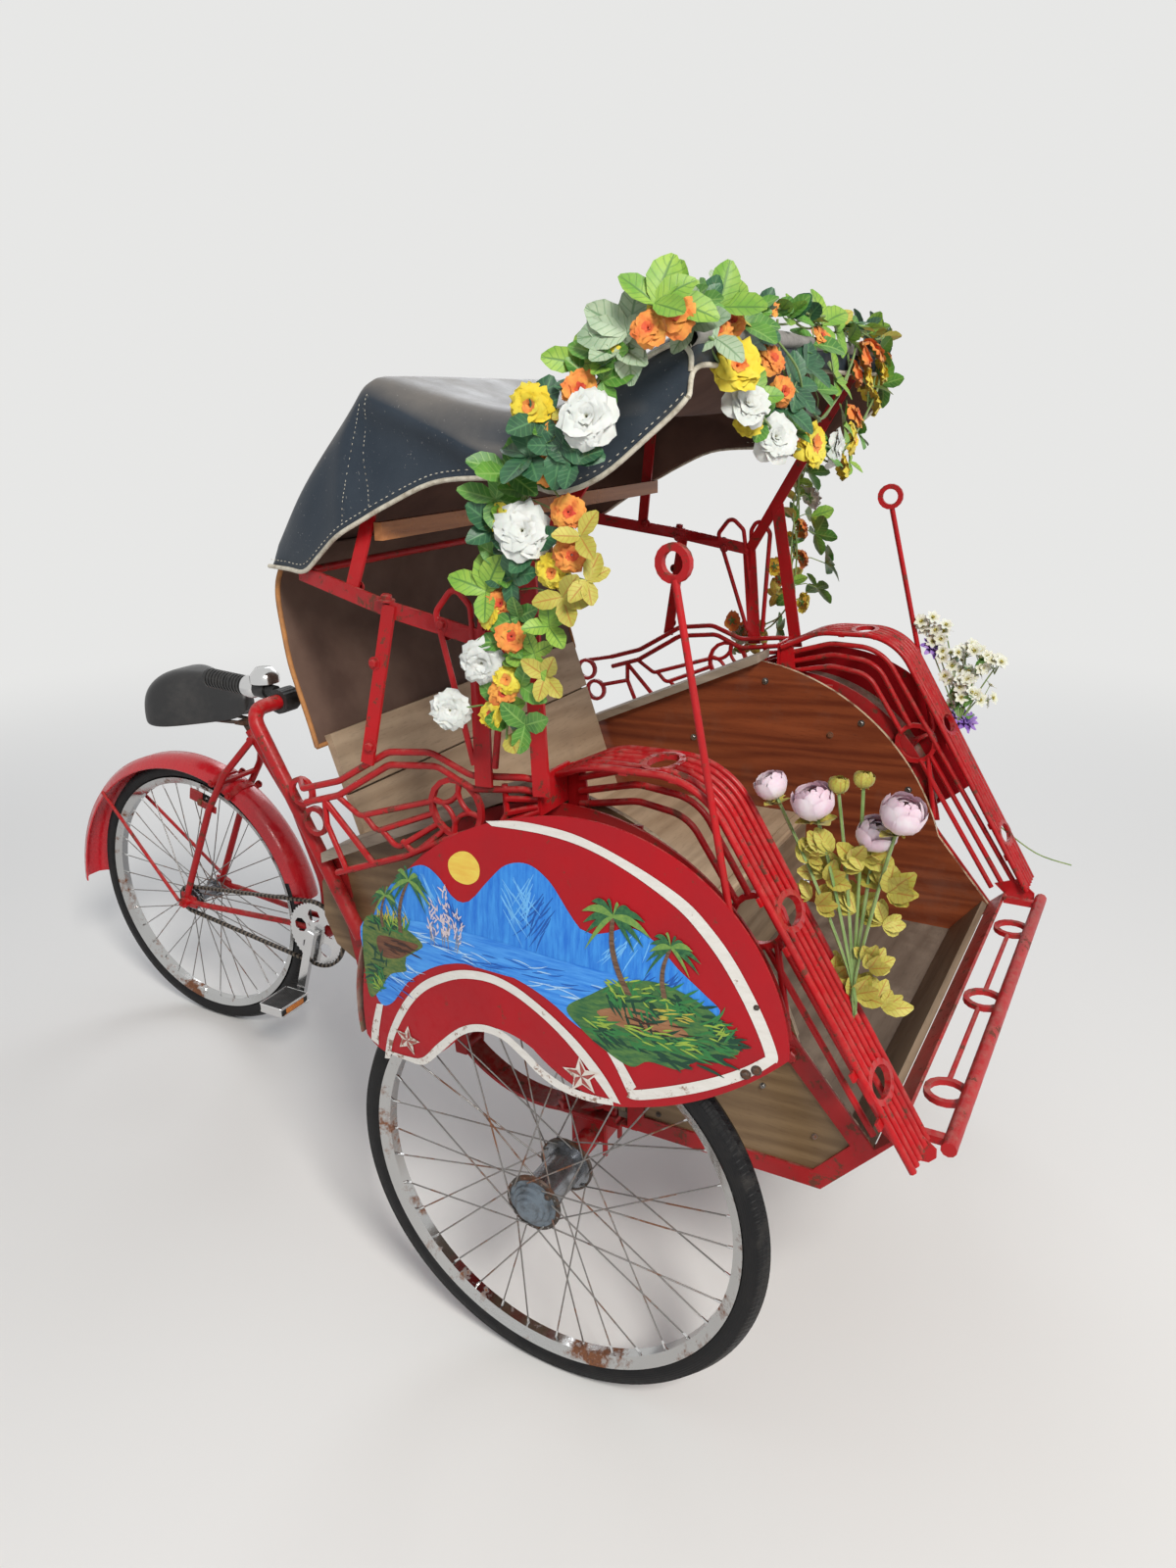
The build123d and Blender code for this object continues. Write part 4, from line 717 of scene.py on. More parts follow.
def hood_half(y, z):
    """Half width of the hood at a place on its side."""
    for (y0, w0), (y1, w1) in zip(HOOD_PLAN, HOOD_PLAN[1:]):
        if y <= y1:
            widest = w0 + (w1 - w0) * (y - y0) / (y1 - y0)
            break
    return min(HOOD_TOP_HALF + (HOOD_TOP_Z - z) * HOOD_SPREAD, widest)


def hood_section(y, z, low_y, low_z):
    """Points from the middle of the roof to the lower edge of the left side."""
    half = hood_half(y, z)
    corner = Vector((half, y, z))
    low = Vector((hood_half(low_y, low_z), low_y, low_z))
    turn_in = 0.045
    first = corner - Vector((turn_in, 0, 0))
    last = corner.lerp(low, min(0.5, turn_in / max((low - corner).length, 0.001)))
    sag = 0.012 * max(0.0, sin(pi * (y + 0.13) / 0.415)) if -0.13 < y < 0.285 else 0.0
    points = []
    for share in (0.0, 0.2, 0.4, 0.6, 0.8, 0.93):
        x = share * first.x
        points.append(Vector((x, y, z - sag * (1 - share ** 2))))
    for t in (0.0, 0.33, 0.67, 1.0):
        points.append(first.lerp(corner, t).lerp(corner.lerp(last, t), t))
    for k in range(1, SIDE_ROWS + 1):
        points.append(last.lerp(low, k / SIDE_ROWS))
    return points


# Folds of the slack side: points (y, z) along each, and its height
FOLDS = metres(((((325, 1515), (270, 1492), (221, 1476), (173, 1458), (127, 1437), (73, 1420)), 19),
                (((310, 1535), (251, 1512), (170, 1499), (93, 1487), (30, 1487), (-45, 1512)), 16),
                (((340, 1480), (352, 1430), (356, 1370)), 8),
                (((-30, 1500), (-70, 1470), (-110, 1470)), 9)))
FOLD_HALF = 0.020


def fold_height(y, z):
    """How far the folds push the sheet out at a place on its side."""
    height = 0.0
    for line, top in FOLDS:
        nearest = 1.0
        for (y0, z0), (y1, z1) in zip(line, line[1:]):
            run = Vector((y1 - y0, z1 - z0))
            share = max(0.0, min(1.0, (Vector((y - y0, z - z0)).dot(run)) / run.length_squared))
            nearest = min(nearest, (Vector((y - y0, z - z0)) - share * run).length)
        height += top * exp(-(nearest / FOLD_HALF) ** 2)
    return height


half_rows = [hood_section(*station) for station in HOOD_STATIONS]
half_columns = [smooth_line([row[j] for row in half_rows], 4) for j in range(len(half_rows[0]))]
hood_rows = []
for half_row in zip(*half_columns):
    shaped = []
    for j, point in enumerate(half_row):
        wave = noise.noise(Vector((point.x * 5, point.y * 7, point.z * 7)))
        if j > 6:
            edge = min(1.0, (len(half_row) - 1 - j) / 2)
            push = edge * (fold_height(point.y, point.z) - 0.003 + 0.003 * wave)
            point = point + Vector((push * min(1.0, (j - 6) / 3), 0, 0.3 * push))
        elif 0 < j:
            point = point + Vector((0, 0, 0.0025 * wave))
        shaped.append(at(*point))
    hood_rows.append(mirrored(shaped[:0:-1]) + shaped)
hood_mesh = skin("hood_sheet", hood_rows)
print("hood sheet", len(hood_mesh.polygons), "faces")

# %% [markdown]
# Thickness comes from a solidify modifier, and its inner faces take a second material, because the hood is
# lined with brown cloth.

# %% Lining, piping and stitches of the hood
hood_lining = mottled("hood_lining", 0.9, (0.35, 0.7, 8.0, 6.0), (0.075, 0.036, 0.027), (0.13, 0.07, 0.05),
                      (650.0, 2.0), (0.3, 0.0005))
cream_piping = mottled("cream_piping", 0.6, (0.45, 0.7, 55.0, 6.0, 0.7), (0.62, 0.58, 0.48),
                       (0.30, 0.25, 0.18), (400.0, 3.0), (0.3, 0.0004))
hood_sheet = finished_piece("hood_sheet", hood_mesh, "cabin", [hood_vinyl, hood_lining],
                            replaces=("hood_canopy",))
round_over = hood_sheet.modifiers.new("round_over", "SUBSURF")
round_over.levels = round_over.render_levels = 1
thicken = hood_sheet.modifiers.new("thicken", "SOLIDIFY")
thicken.thickness = 0.0025
thicken.offset = -1.0
thicken.material_offset = 1
thicken.material_offset_rim = 0

low_edge = [row[-1] for row in hood_rows]
lip_edge = smooth_line([hood_rows[0][j] + Vector((0, -0.002, 0)) for j in range(len(hood_rows[0]))], 2)
front_seam = [row[-9] + Vector((0.002, 0, 0.001)) for row in hood_rows[:21:4]]
front_seam += [at(0.480, 0.022, 1.455), at(0.490, 0.012, 1.415), at(0.494, -0.002, 1.389)]
seam_line = smooth_line(front_seam, 5)
piping_lines = [low_edge, mirrored(low_edge), lip_edge, seam_line, mirrored(seam_line)]
piping_curve = tube("hood_piping", piping_lines, 0.0034)
piping = finished_piece("hood_piping", piping_curve, "cabin", [cream_piping])
print("piping lines", len(piping.data.splines))

# %% [markdown]
# Along the front bow the vinyl is rolled over and sewn down, and the roll shows as a thick pale-grey lip.
# It is a tube with a few flats and a slight wobble, so it doesn't look like a pipe.

# %% Rolled lip over the front bow
rolled = mottled("rolled_lip", 0.75, (0.4, 0.7, 18.0, 7.0, 0.7), (0.34, 0.32, 0.30), (0.15, 0.14, 0.13),
                 (120.0, 5.0), (0.5, 0.001))
LIP_HALF = 0.452
lip_rows = []
for i in range(61):
    x = -LIP_HALF + 2 * LIP_HALF * i / 60
    wobble = 0.0018 * noise.noise(Vector((x * 21, 0.3, 0.7)))
    middle = at(x, -0.172, 1.5775 - 0.010 * (x / LIP_HALF) ** 8)
    ring = []
    for k in range(12):
        a = 2 * pi * k / 12
        r = 0.0105 + wobble + 0.0012 * sin(3 * a + x * 30)
        ring.append(middle + Vector((0, r * cos(a), r * sin(a))))
    lip_rows.append(ring)
rolled_lip = finished_piece("rolled_lip", skin("rolled_lip", lip_rows, wrap=True), "cabin",
                            [rolled])

stitch_bm = bmesh.new()


def stitches(line, spacing, size, lift):
    """Short threads laid along a line."""
    travelled = 0.0
    for a, b in zip(line, line[1:]):
        run = b - a
        travelled += run.length
        if travelled < spacing:
            continue
        travelled = 0.0
        middle = (a + b) / 2 + lift
        turned = run.normalized().to_track_quat("X", "Z").to_matrix().to_4x4()
        place = Matrix.Translation(middle) @ turned @ Matrix.Diagonal((size, size * 0.28, size * 0.28, 1))
        bmesh.ops.create_icosphere(stitch_bm, subdivisions=1, radius=0.5, matrix=place)


for line in (seam_line, low_edge):
    fine = smooth_line(line[::2], 9)
    for one, sign in ((fine, 1), (mirrored(fine), -1)):
        stitches(one, 0.009, 0.0055, Vector((0.0005 * sign, 0, 0.011)))
# The two sewn seams that run down the rear of each side
REAR_SEAMS = metres((((300, 1517), (305, 1503), (315, 1438), (304, 1386), (300, 1362)),
                     ((319, 1505), (322, 1491), (330, 1458), (341, 1400), (350, 1341))))
side_tree = BVHTree.FromPolygons([v.co for v in hood_mesh.vertices],
                                 [p.vertices[:] for p in hood_mesh.polygons])
for seam in REAR_SEAMS:
    line = []
    for p in side_line(seam, 12):
        place = side_tree.ray_cast(at(0.9, p.y, p.z), Vector((-1, 0, 0)))[0]
        if place:
            line.append(place + Vector((0.0006, 0, 0)))
    for one in (line, mirrored(line)):
        stitches(one, 0.0055, 0.0036, Vector((0, 0, 0)))
stitch_mesh = mesh_of("hood_stitches", stitch_bm)
hood_stitches = finished_piece("hood_stitches", stitch_mesh, "cabin", [cream_piping])
print("stitches", len(stitch_mesh.polygons) // 20)

# %% [markdown]
# A brown curtain closes the back from the hood down to the seat. It hangs under the hood's rear edge,
# behind the tail bow, bellies out a little to the rear and has an orange-tan welt along its sides and its
# lower edge. Its folds run down and fade towards the top and the bottom, where it is tied. A sine with a
# noise in it gives folds that don't repeat.

# %% Back curtain
CURTAIN_LINE = metres(((534.6, 1285), (537.2, 1262), (550, 1235), (555, 1205), (551.5, 1160), (543, 1100),
                       (526, 1045), (510, 995), (500.8, 962)))
CURTAIN_HALF = 0.438
curtain_rows = []
hang = side_line(CURTAIN_LINE, 4)
for i, place in enumerate(hang):
    depth = sin(pi * i / (len(hang) - 1))
    row = []
    for j in range(89):
        x = -CURTAIN_HALF + 2 * CURTAIN_HALF * j / 88
        fold = sin(x * 34 + 3.0 * noise.noise(Vector((x * 3, place.z * 2, 0))))
        broad = noise.noise(Vector((x * 4.5, place.z * 3.0, 2.0)))
        y = place.y + depth * (0.0022 * fold + 0.005 * broad) + 0.0022
        row.append(at(x, y, place.z))
    curtain_rows.append(row)
curtain = finished_piece("back_curtain", skin("back_curtain", curtain_rows), "cabin",
                         [curtain_cloth], replaces=("hood_curtain",))
curtain_thick = curtain.modifiers.new("thicken", "SOLIDIFY")
curtain_thick.thickness = 0.002
curtain_thick.offset = 0.0
tan_welt = mottled("tan_welt", 0.7, (0.4, 0.7, 40.0, 6.0, 0.7), (0.46, 0.20, 0.06), (0.25, 0.11, 0.045),
                   (300.0, 3.0), (0.3, 0.0005))
edge_right = [row[0] for row in curtain_rows]
edge_left = [row[-1] for row in curtain_rows]
edge_low = curtain_rows[-1]
welt_curve = tube("curtain_welt", [edge_right, edge_left, edge_low], 0.0042)
curtain_welt = finished_piece("curtain_welt", welt_curve, "cabin", [tan_welt])


def skin_area(mesh):
    """Area of a sheet's mesh in square metres."""
    return sum(face.area for face in mesh.polygons)


def line_length(line):
    return sum((b - a).length for a, b in zip(line, line[1:]))


def flat_size(rows):
    """Width and length of the cloth that the rows were cut from."""
    return (max(line_length(row) for row in rows), max(line_length(column) for column in zip(*rows)))


for name, rows, mesh in (("hood", hood_rows, hood_mesh), ("curtain", curtain_rows, curtain.data)):
    print(name, [round(v, 3) for v in flat_size(rows)], "m, area", round(skin_area(mesh), 3))

# %% [markdown]
# The side skirts are dished red sheets with hand-painted lines, stars and a picture. Paint is a layer on
# the sheet, so each painted shape is a thin skin that lies a fraction of a millimetre above the metal and
# follows its dish. That keeps every edge crisp at any distance. A mask in the material could do the same,
# but would need a formula for every curve.

# %% Laying paint on the dished skirts
SKIRT_OUT = 0.622
DISH_R = 2.4
DISH_Z = 0.600
LONGEST_EDGE = 0.03


def on_skirt(y, z, lift):
    """A point above the left skirt's outer face."""
    return at(SKIRT_OUT - DISH_R + sqrt(DISH_R ** 2 - y ** 2 - (z - DISH_Z) ** 2) + lift, y, z)


def painted_band(line_a, line_b, lift, steps=6):
    """Rows of points for a painted strip between two lines of (y, z)."""
    first, last = side_line(line_a, steps), side_line(line_b, steps)
    return [[on_skirt(*(p.lerp(q, t).yz), lift) for t in (0.0, 0.5, 1.0)] for p, q in zip(first, last)]


def painted_patch(outline, lift):
    """A filled outline of (y, z) points, cut into small faces that follow the dish."""
    bm = bmesh.new()
    bm.faces.new([bm.verts.new(p) for p in side_line(outline, 5, closed=True)])
    bmesh.ops.triangulate(bm, faces=bm.faces[:])
    for _ in range(4):
        long_edges = [e for e in bm.edges if e.calc_length() > LONGEST_EDGE]
        if not long_edges:
            break
        bmesh.ops.subdivide_edges(bm, edges=long_edges, cuts=1)
        bmesh.ops.triangulate(bm, faces=bm.faces[:])
    bmesh.ops.recalc_face_normals(bm, faces=bm.faces[:])
    for vert in bm.verts:
        vert.co = on_skirt(vert.co.y, vert.co.z, lift)
    return bm


def both_skirts(name, build, material):
    """The same painted shape on the left and the right skirt."""
    for side, sign in (("left", 1), ("right", -1)):
        bm = build()
        if sign < 0:
            for vert in bm.verts:
                vert.co.x = -vert.co.x
        bmesh.ops.recalc_face_normals(bm, faces=bm.faces[:])
        if bm.faces and sum(f.normal.x for f in bm.faces) * sign < 0:
            bmesh.ops.reverse_faces(bm, faces=bm.faces[:])
        half = name + "_" + side
        finished_piece(half, mesh_of(half, bm), "cabin", [material])


def rows_to_bm(groups):
    """Strips of rows joined into one bmesh."""
    bm = bmesh.new()
    for rows in groups:
        verts = [[bm.verts.new(p) for p in row] for row in rows]
        for a, b in zip(verts, verts[1:]):
            for j in range(len(a) - 1):
                bm.faces.new((a[j], a[j + 1], b[j + 1], b[j]))
    return bm


print("paint helpers ready")

# %% [markdown]
# The lines are brushed in white gloss. Rust has come through near the lower front, and the brush left
# faint streaks.

# %% White lines of the skirts
def sign_paint(name, colour, second, streak=(1.0, 7.0, 28.0), share=0.5, rust=0.0, rough=0.42):
    """Brushed paint in two near colours, with optional rust spots low down."""
    f = Finish(name, rough)
    stroke = f.clouds(0.35, 0.68, 5.0, 5.0, 0.65, stretch=streak)
    paint = f.blend(f.times(stroke, share), colour, second)
    if rust:
        low = f.band(f.parts(f.place)["Z"], 0.70, 0.55)
        specks = f.band(f.plus(f.noise(42.0, 8.0, 0.75), f.times(low, 0.10)), 0.62, 0.68)
        paint = f.blend(f.times(specks, rust), paint, (0.20, 0.075, 0.03))
    f.colour(paint)
    f.bump(stroke, 0.12, 0.0003)
    f.set("Specular IOR Level", 0.3)
    f.set("Coat Weight", 0.08)
    f.set("Coat Roughness", 0.2)
    return f.material


white_line = sign_paint("white_line", (0.72, 0.70, 0.66), (0.58, 0.55, 0.50), rust=0.9)
LINE_LIFT = 0.0009
SKIRT_BANDS = metres((
    # the arch's outer line
    (((268, 528), (253, 579), (218, 642), (180, 686), (138, 714), (96, 731), (50, 736), (9, 728),
      (-31, 709), (-70, 684), (-102, 657), (-133, 622), (-155, 586)),
     ((256, 531), (241, 577), (207, 636), (173, 675), (133, 702), (94, 718), (50, 723), (10, 714),
      (-29, 695), (-64, 671), (-94, 643), (-122, 611), (-141, 587))),
    # along the wavy lower edge
    (((262, 546), (219, 549), (186, 558), (152, 594), (110, 633), (71, 651), (31, 650), (-6, 630),
      (-34, 609), (-68, 594), (-106, 589), (-143, 590)),
     ((266, 541), (223, 541), (184, 546), (146, 582), (107, 621), (71, 639), (34, 638), (0, 618),
      (-28, 597), (-62, 582), (-104, 577), (-144, 581))),
    # rear foot
    (((274, 624), (290, 576), (294.5, 553)), ((260, 627), (274, 578), (279, 548))),
    # front foot
    (((-126, 677), (-147, 645), (-166, 606)), ((-139, 681), (-160, 650), (-178, 620))),
    # border over the top and down the front, then back along the lower edge
    (((60, 958), (13, 966), (-31, 966.5), (-73, 963), (-115, 953), (-155, 939), (-195, 922), (-236, 900),
      (-265, 876), (-299, 838), (-329, 792), (-352, 748), (-366, 712), (-366, 700)),
     ((50, 953), (8, 955), (-31, 955), (-73, 951), (-112, 942), (-150, 928), (-188, 910), (-227, 887),
      (-254, 864), (-286, 828), (-315, 784), (-337, 742), (-350, 710), (-350, 700))),
    (((-366, 702), (-340, 678), (-305, 655), (-262, 632), (-215, 612), (-180, 600), (-164, 600)),
     ((-350, 705), (-326, 686), (-294, 666), (-254, 646), (-212, 628), (-180, 616), (-170, 614))),
))
line_rows = [painted_band(a, b, LINE_LIFT) for a, b in SKIRT_BANDS]
both_skirts("skirt_lines", lambda: rows_to_bm(line_rows), white_line)
print("white lines", len(line_rows), "a side")

# %% [markdown]
# Each five-point star is drawn with a light and a dark half on every point, as signwriters do to make it
# look cut.

# %% Stars
star_light = sign_paint("star_light", (0.70, 0.66, 0.60), (0.55, 0.45, 0.38), rust=0.8)
star_dark = sign_paint("star_dark", (0.30, 0.05, 0.045), (0.42, 0.12, 0.09))
STARS = ((0.214, 0.580, 0.026, 8.0), (-0.096, 0.615, 0.030, -6.0))


def star_halves(dark):
    """Both whole light stars, or the dark triangles that leave a light edge round them."""
    bm = bmesh.new()
    share, lift = (0.80, 0.0018) if dark else (1.0, 0.0012)
    for y0, z0, size, tilt in STARS:
        point, inner = size * share, 0.44 * size * share
        for i in range(5):
            tip = radians(90 + tilt + 72 * i)
            for side in ((1,) if dark else (-1, 1)):
                notch = tip + side * radians(36)
                corners = [(y0, z0), (y0 + point * cos(tip), z0 + point * sin(tip)),
                           (y0 + inner * cos(notch), z0 + inner * sin(notch))]
                bm.faces.new([bm.verts.new(on_skirt(y, z, lift)) for y, z in corners])
    return bm


both_skirts("star_light", lambda: star_halves(False), star_light)
both_skirts("star_dark", lambda: star_halves(True), star_dark)
print("stars", len(STARS) * 2)

# %% [markdown]
# The picture on the skirt is a new landscape in the same range of colours and at the same scale as such
# vehicles carry: rounded blue hills, a bright river, a low sun, palms, bushes and flowering reeds on the
# red ground. It is painted as the signwriter would, from the back to the front, each layer a little above
# the last. The flat shapes come first, and many short tapered brush strokes then give them their light and
# dark.

# %% Picture: hills, river and sun
def picture(name, outline, layer, colour, second, streak=(1.0, 5.0, 26.0)):
    """A painted shape on both skirts, in millimetres. Layers lie a tenth of a millimetre apart."""
    material = sign_paint("paint_" + name, colour, second, streak, 0.8)
    both_skirts(name, lambda: painted_patch(metres(outline), layer / 10000), material)


picture("far_hills", ((270, 748), (268, 776), (250, 806), (226, 838), (198, 862), (168, 874), (140, 862),
                      (112, 836), (86, 838), (56, 872), (26, 902), (-10, 910), (-44, 892), (-72, 858),
                      (-98, 832), (-130, 836), (-164, 850), (-198, 838), (-232, 806), (-268, 778),
                      (-290, 756), (-250, 742), (0, 740)),
        5, (0.015, 0.16, 0.62), (0.06, 0.34, 0.82), (1.0, 26.0, 4.0))
picture("river", ((292, 758), (180, 786), (60, 790), (-60, 784), (-180, 778), (-272, 762), (-262, 722),
                  (-180, 692), (-126, 682), (-90, 692), (-50, 718), (0, 738), (50, 745), (110, 738),
                  (160, 716), (206, 680), (240, 636), (268, 630), (290, 690)),
        9, (0.018, 0.18, 0.66), (0.10, 0.40, 0.88), (1.0, 3.0, 36.0))
picture("sun", ((122, 892), (106, 906), (86, 908), (70, 894), (71, 874), (88, 862), (110, 864), (122, 876)),
        3, (0.78, 0.60, 0.10), (0.74, 0.40, 0.06))


def brush_strokes(name, colour, layer, marks):
    """Short tapered strokes. A mark is (y, z, reach y, reach z, count, length, width, angle, spread).

    Lengths are in millimetres, and angles in degrees.
    """
    draw = random.Random(name)
    rows = []
    lift = layer / 10000
    for *sizes, count, length, width, angle, spread in marks:
        y0, z0, reach_y, reach_z, length, width = metres((*sizes, length, width))
        for _ in range(count):
            away, round_it = sqrt(draw.random()), draw.uniform(0, 2 * pi)
            y, z = y0 + reach_y * away * cos(round_it), z0 + reach_z * away * sin(round_it)
            way = radians(angle + draw.uniform(-spread, spread))
            run, bend = length * draw.uniform(0.6, 1.3), draw.uniform(-0.25, 0.25)
            one, other = [], []
            for t in (0.0, 0.33, 0.67, 1.0):
                half = width * sin(pi * (0.12 + 0.84 * t)) * 0.5
                py = y + run * (t * cos(way) - bend * t * t * sin(way))
                pz = z + run * (t * sin(way) + bend * t * t * cos(way))
                one.append((py - half * sin(way), pz + half * cos(way)))
                other.append((py + half * sin(way), pz - half * cos(way)))
            rows.append([[on_skirt(*a, lift), on_skirt(*b, lift)] for a, b in zip(one, other)])
    material = sign_paint("paint_" + name, colour, tuple(0.7 * c for c in colour), (1.0, 20.0, 20.0), 0.7)
    both_skirts(name, lambda: rows_to_bm(rows), material)


brush_strokes("hill_light", (0.16, 0.48, 0.90), 7, (
    (20, 860, 20, 30, 16, 50, 2.2, 235, 12), (-20, 880, 10, 20, 10, 50, 2, 290, 12),
    (170, 850, 20, 16, 12, 40, 2.2, 240, 14), (-165, 832, 30, 12, 12, 36, 2, 300, 16),
    (230, 800, 20, 20, 9, 34, 2, 230, 14)))
brush_strokes("hill_shade", (0.010, 0.095, 0.42), 6, (
    (-40, 850, 16, 30, 14, 44, 2.6, 300, 12), (120, 820, 16, 20, 9, 34, 2.4, 245, 14),
    (-220, 790, 30, 14, 10, 34, 2.4, 310, 12)))
brush_strokes("river_light", (0.42, 0.66, 0.90), 11, (
    (-100, 745, 130, 16, 20, 36, 1.8, 178, 5), (100, 762, 130, 14, 20, 36, 1.8, 182, 5),
    (225, 700, 30, 34, 14, 28, 1.8, 190, 12), (-160, 715, 50, 12, 9, 30, 1.8, 176, 6)))
brush_strokes("river_deep", (0.010, 0.11, 0.48), 10, (
    (0, 755, 200, 18, 26, 40, 2.2, 180, 5), (235, 680, 26, 30, 9, 26, 2.2, 190, 10)))
print("picture ground done")

# %% [markdown]
# The banks are earth under grass. Bushes are heaps of strokes that fan out from their middle, dark ones
# first.

# %% Picture: banks, bushes and reeds
picture("rear_bank", ((294, 750), (262, 776), (214, 772), (172, 752), (190, 734), (212, 716), (206, 700),
                      (240, 684), (268, 646), (290, 640)),
        12, (0.035, 0.11, 0.03), (0.20, 0.23, 0.05), (1.0, 12.0, 30.0))
picture("rear_soil", ((262, 742), (214, 748), (180, 748), (200, 730), (222, 716), (256, 712)),
        13, (0.085, 0.030, 0.018), (0.22, 0.09, 0.04), (1.0, 5.0, 50.0))
picture("front_bank", ((-74, 716), (-110, 744), (-150, 770), (-200, 782), (-252, 770), (-296, 742),
                       (-318, 706), (-286, 690), (-262, 684), (-240, 662), (-196, 664), (-170, 650),
                       (-128, 668), (-96, 690)),
        12, (0.018, 0.10, 0.04), (0.12, 0.24, 0.05), (1.0, 9.0, 34.0))
picture("front_soil", ((-120, 722), (-170, 738), (-222, 732), (-250, 714), (-200, 706), (-150, 708)),
        13, (0.25, 0.10, 0.045), (0.36, 0.19, 0.09), (1.0, 7.0, 46.0))
brush_strokes("leaf_dark", (0.008, 0.055, 0.030), 14, (
    (-200, 748, 70, 26, 44, 26, 4.6, 200, 60), (-215, 690, 70, 20, 40, 30, 5, 182, 28),
    (-285, 716, 22, 22, 18, 28, 4.6, 170, 40), (240, 758, 34, 12, 18, 20, 4, 60, 60),
    (262, 690, 16, 34, 24, 22, 4, 30, 70), (-120, 690, 30, 14, 14, 26, 4.6, 190, 30)))
brush_strokes("leaf_mid", (0.035, 0.20, 0.055), 16, (
    (-190, 756, 66, 22, 46, 22, 3.8, 200, 70), (-205, 696, 66, 18, 40, 28, 4, 180, 30),
    (-280, 722, 22, 20, 16, 24, 3.6, 165, 45), (236, 764, 34, 10, 16, 18, 3.4, 70, 60),
    (262, 668, 14, 22, 16, 20, 3.6, 30, 60), (-118, 700, 30, 12, 14, 22, 3.6, 190, 35)))
brush_strokes("leaf_light", (0.30, 0.44, 0.06), 18, (
    (-180, 764, 56, 16, 26, 16, 2.8, 205, 60), (-200, 702, 60, 14, 24, 22, 2.8, 180, 26),
    (-282, 728, 18, 14, 10, 18, 2.6, 160, 40), (236, 770, 30, 8, 16, 14, 2.6, 80, 50),
    (264, 664, 12, 16, 10, 14, 2.6, 40, 50), (-112, 706, 24, 10, 10, 18, 2.8, 190, 30)))
brush_strokes("grass_gold", (0.52, 0.44, 0.07), 18, (
    (232, 776, 36, 6, 18, 16, 2.2, 95, 25), (-222, 738, 30, 10, 12, 18, 2.2, 180, 20)))
brush_strokes("soil_shade", (0.045, 0.018, 0.012), 17, (
    (222, 732, 30, 12, 18, 20, 2.6, 190, 12), (-190, 718, 50, 10, 12, 22, 2.6, 182, 10)))
# Flowering reeds, pale against the hills
brush_strokes("reed_bloom", (0.70, 0.60, 0.64), 16, (
    (128, 806, 10, 42, 46, 11, 2.6, 70, 50), (150, 792, 10, 30, 30, 10, 2.4, 80, 50),
    (108, 790, 9, 26, 24, 10, 2.4, 100, 50)))
brush_strokes("reed_stalk", (0.30, 0.25, 0.20), 15, (
    (128, 762, 6, 10, 5, 44, 1.4, 88, 8), (150, 760, 5, 8, 4, 34, 1.3, 84, 8),
    (108, 758, 5, 8, 4, 32, 1.3, 98, 8)))
print("picture banks done")

# %% [markdown]
# A palm is one tapered trunk and a crown of curved fronds. Each frond is a strip that starts up and falls
# over by a square law, as a real one does under its own weight.

# %% Picture: palms
leaf_paint = sign_paint("paint_leaf", (0.010, 0.075, 0.035), (0.06, 0.20, 0.06), (1.0, 30.0, 30.0), 0.8)
leaf_light = sign_paint("paint_leaf_light", (0.20, 0.34, 0.07), (0.05, 0.18, 0.05), (1.0, 30.0, 30.0), 0.7)
trunk_paint = sign_paint("paint_trunk", (0.07, 0.035, 0.022), (0.24, 0.14, 0.08), (1.0, 8.0, 60.0), 0.8)
# Foot (y, z), crown (y, z), frond length
PALMS = metres(((-166, 756, -140, 862, 56), (-216, 762, -222, 834, 42), (214, 760, 196, 846, 44),
                (250, 760, 243, 812, 32)))


def palm_trunks():
    """A bent, tapered trunk for every palm."""
    groups = []
    for y0, z0, y1, z1, length in PALMS:
        bend = 0.10 * (z1 - z0)
        line = [(y0 + (y1 - y0) * t + bend * sin(pi * t), z0 + (z1 - z0) * t) for t in (0, 0.33, 0.66, 1)]
        wide = 0.075 * length
        left, right_edge = ([(y + side * wide * (1.2 - 0.5 * i / 3), z) for i, (y, z) in enumerate(line)]
                            for side in (-1, 1))
        groups.append(painted_band(left, right_edge, 0.0019, 3))
    return rows_to_bm(groups)


def palm_fronds(light):
    """Curved fronds round every crown, either the light ones, every third, or the dark ones."""
    groups = []
    for n, (_, _, y1, z1, length) in enumerate(PALMS):
        for k in range(12):
            if ((k + n) % 3 == 0) != light:
                continue
            angle = radians(-35 + 250 * k / 11)
            reach = length * (0.85 + 0.15 * sin(5 * k + n))
            mid, tip = [], []
            for t in (0, 0.35, 0.7, 1):
                y = y1 + reach * t * cos(angle)
                z = z1 + reach * (t * sin(angle) - 0.55 * t * t)
                wide = 0.10 * length * sin(pi * (0.12 + 0.86 * t))
                mid.append((y, z + wide))
                tip.append((y, z - wide))
            groups.append(painted_band(mid, tip, 0.0021 + 0.0002 * light, 3))
    return rows_to_bm(groups)


both_skirts("palm_trunks", palm_trunks, trunk_paint)
both_skirts("palm_fronds", lambda: palm_fronds(False), leaf_paint)
both_skirts("palm_fronds_light", lambda: palm_fronds(True), leaf_light)
print("picture done")

# %% [markdown]
# The saddle is a broad sprung one with a soft black cover. It is built from cross sections along its
# length: each has a domed top, a rolled edge and a nearly flat underside.

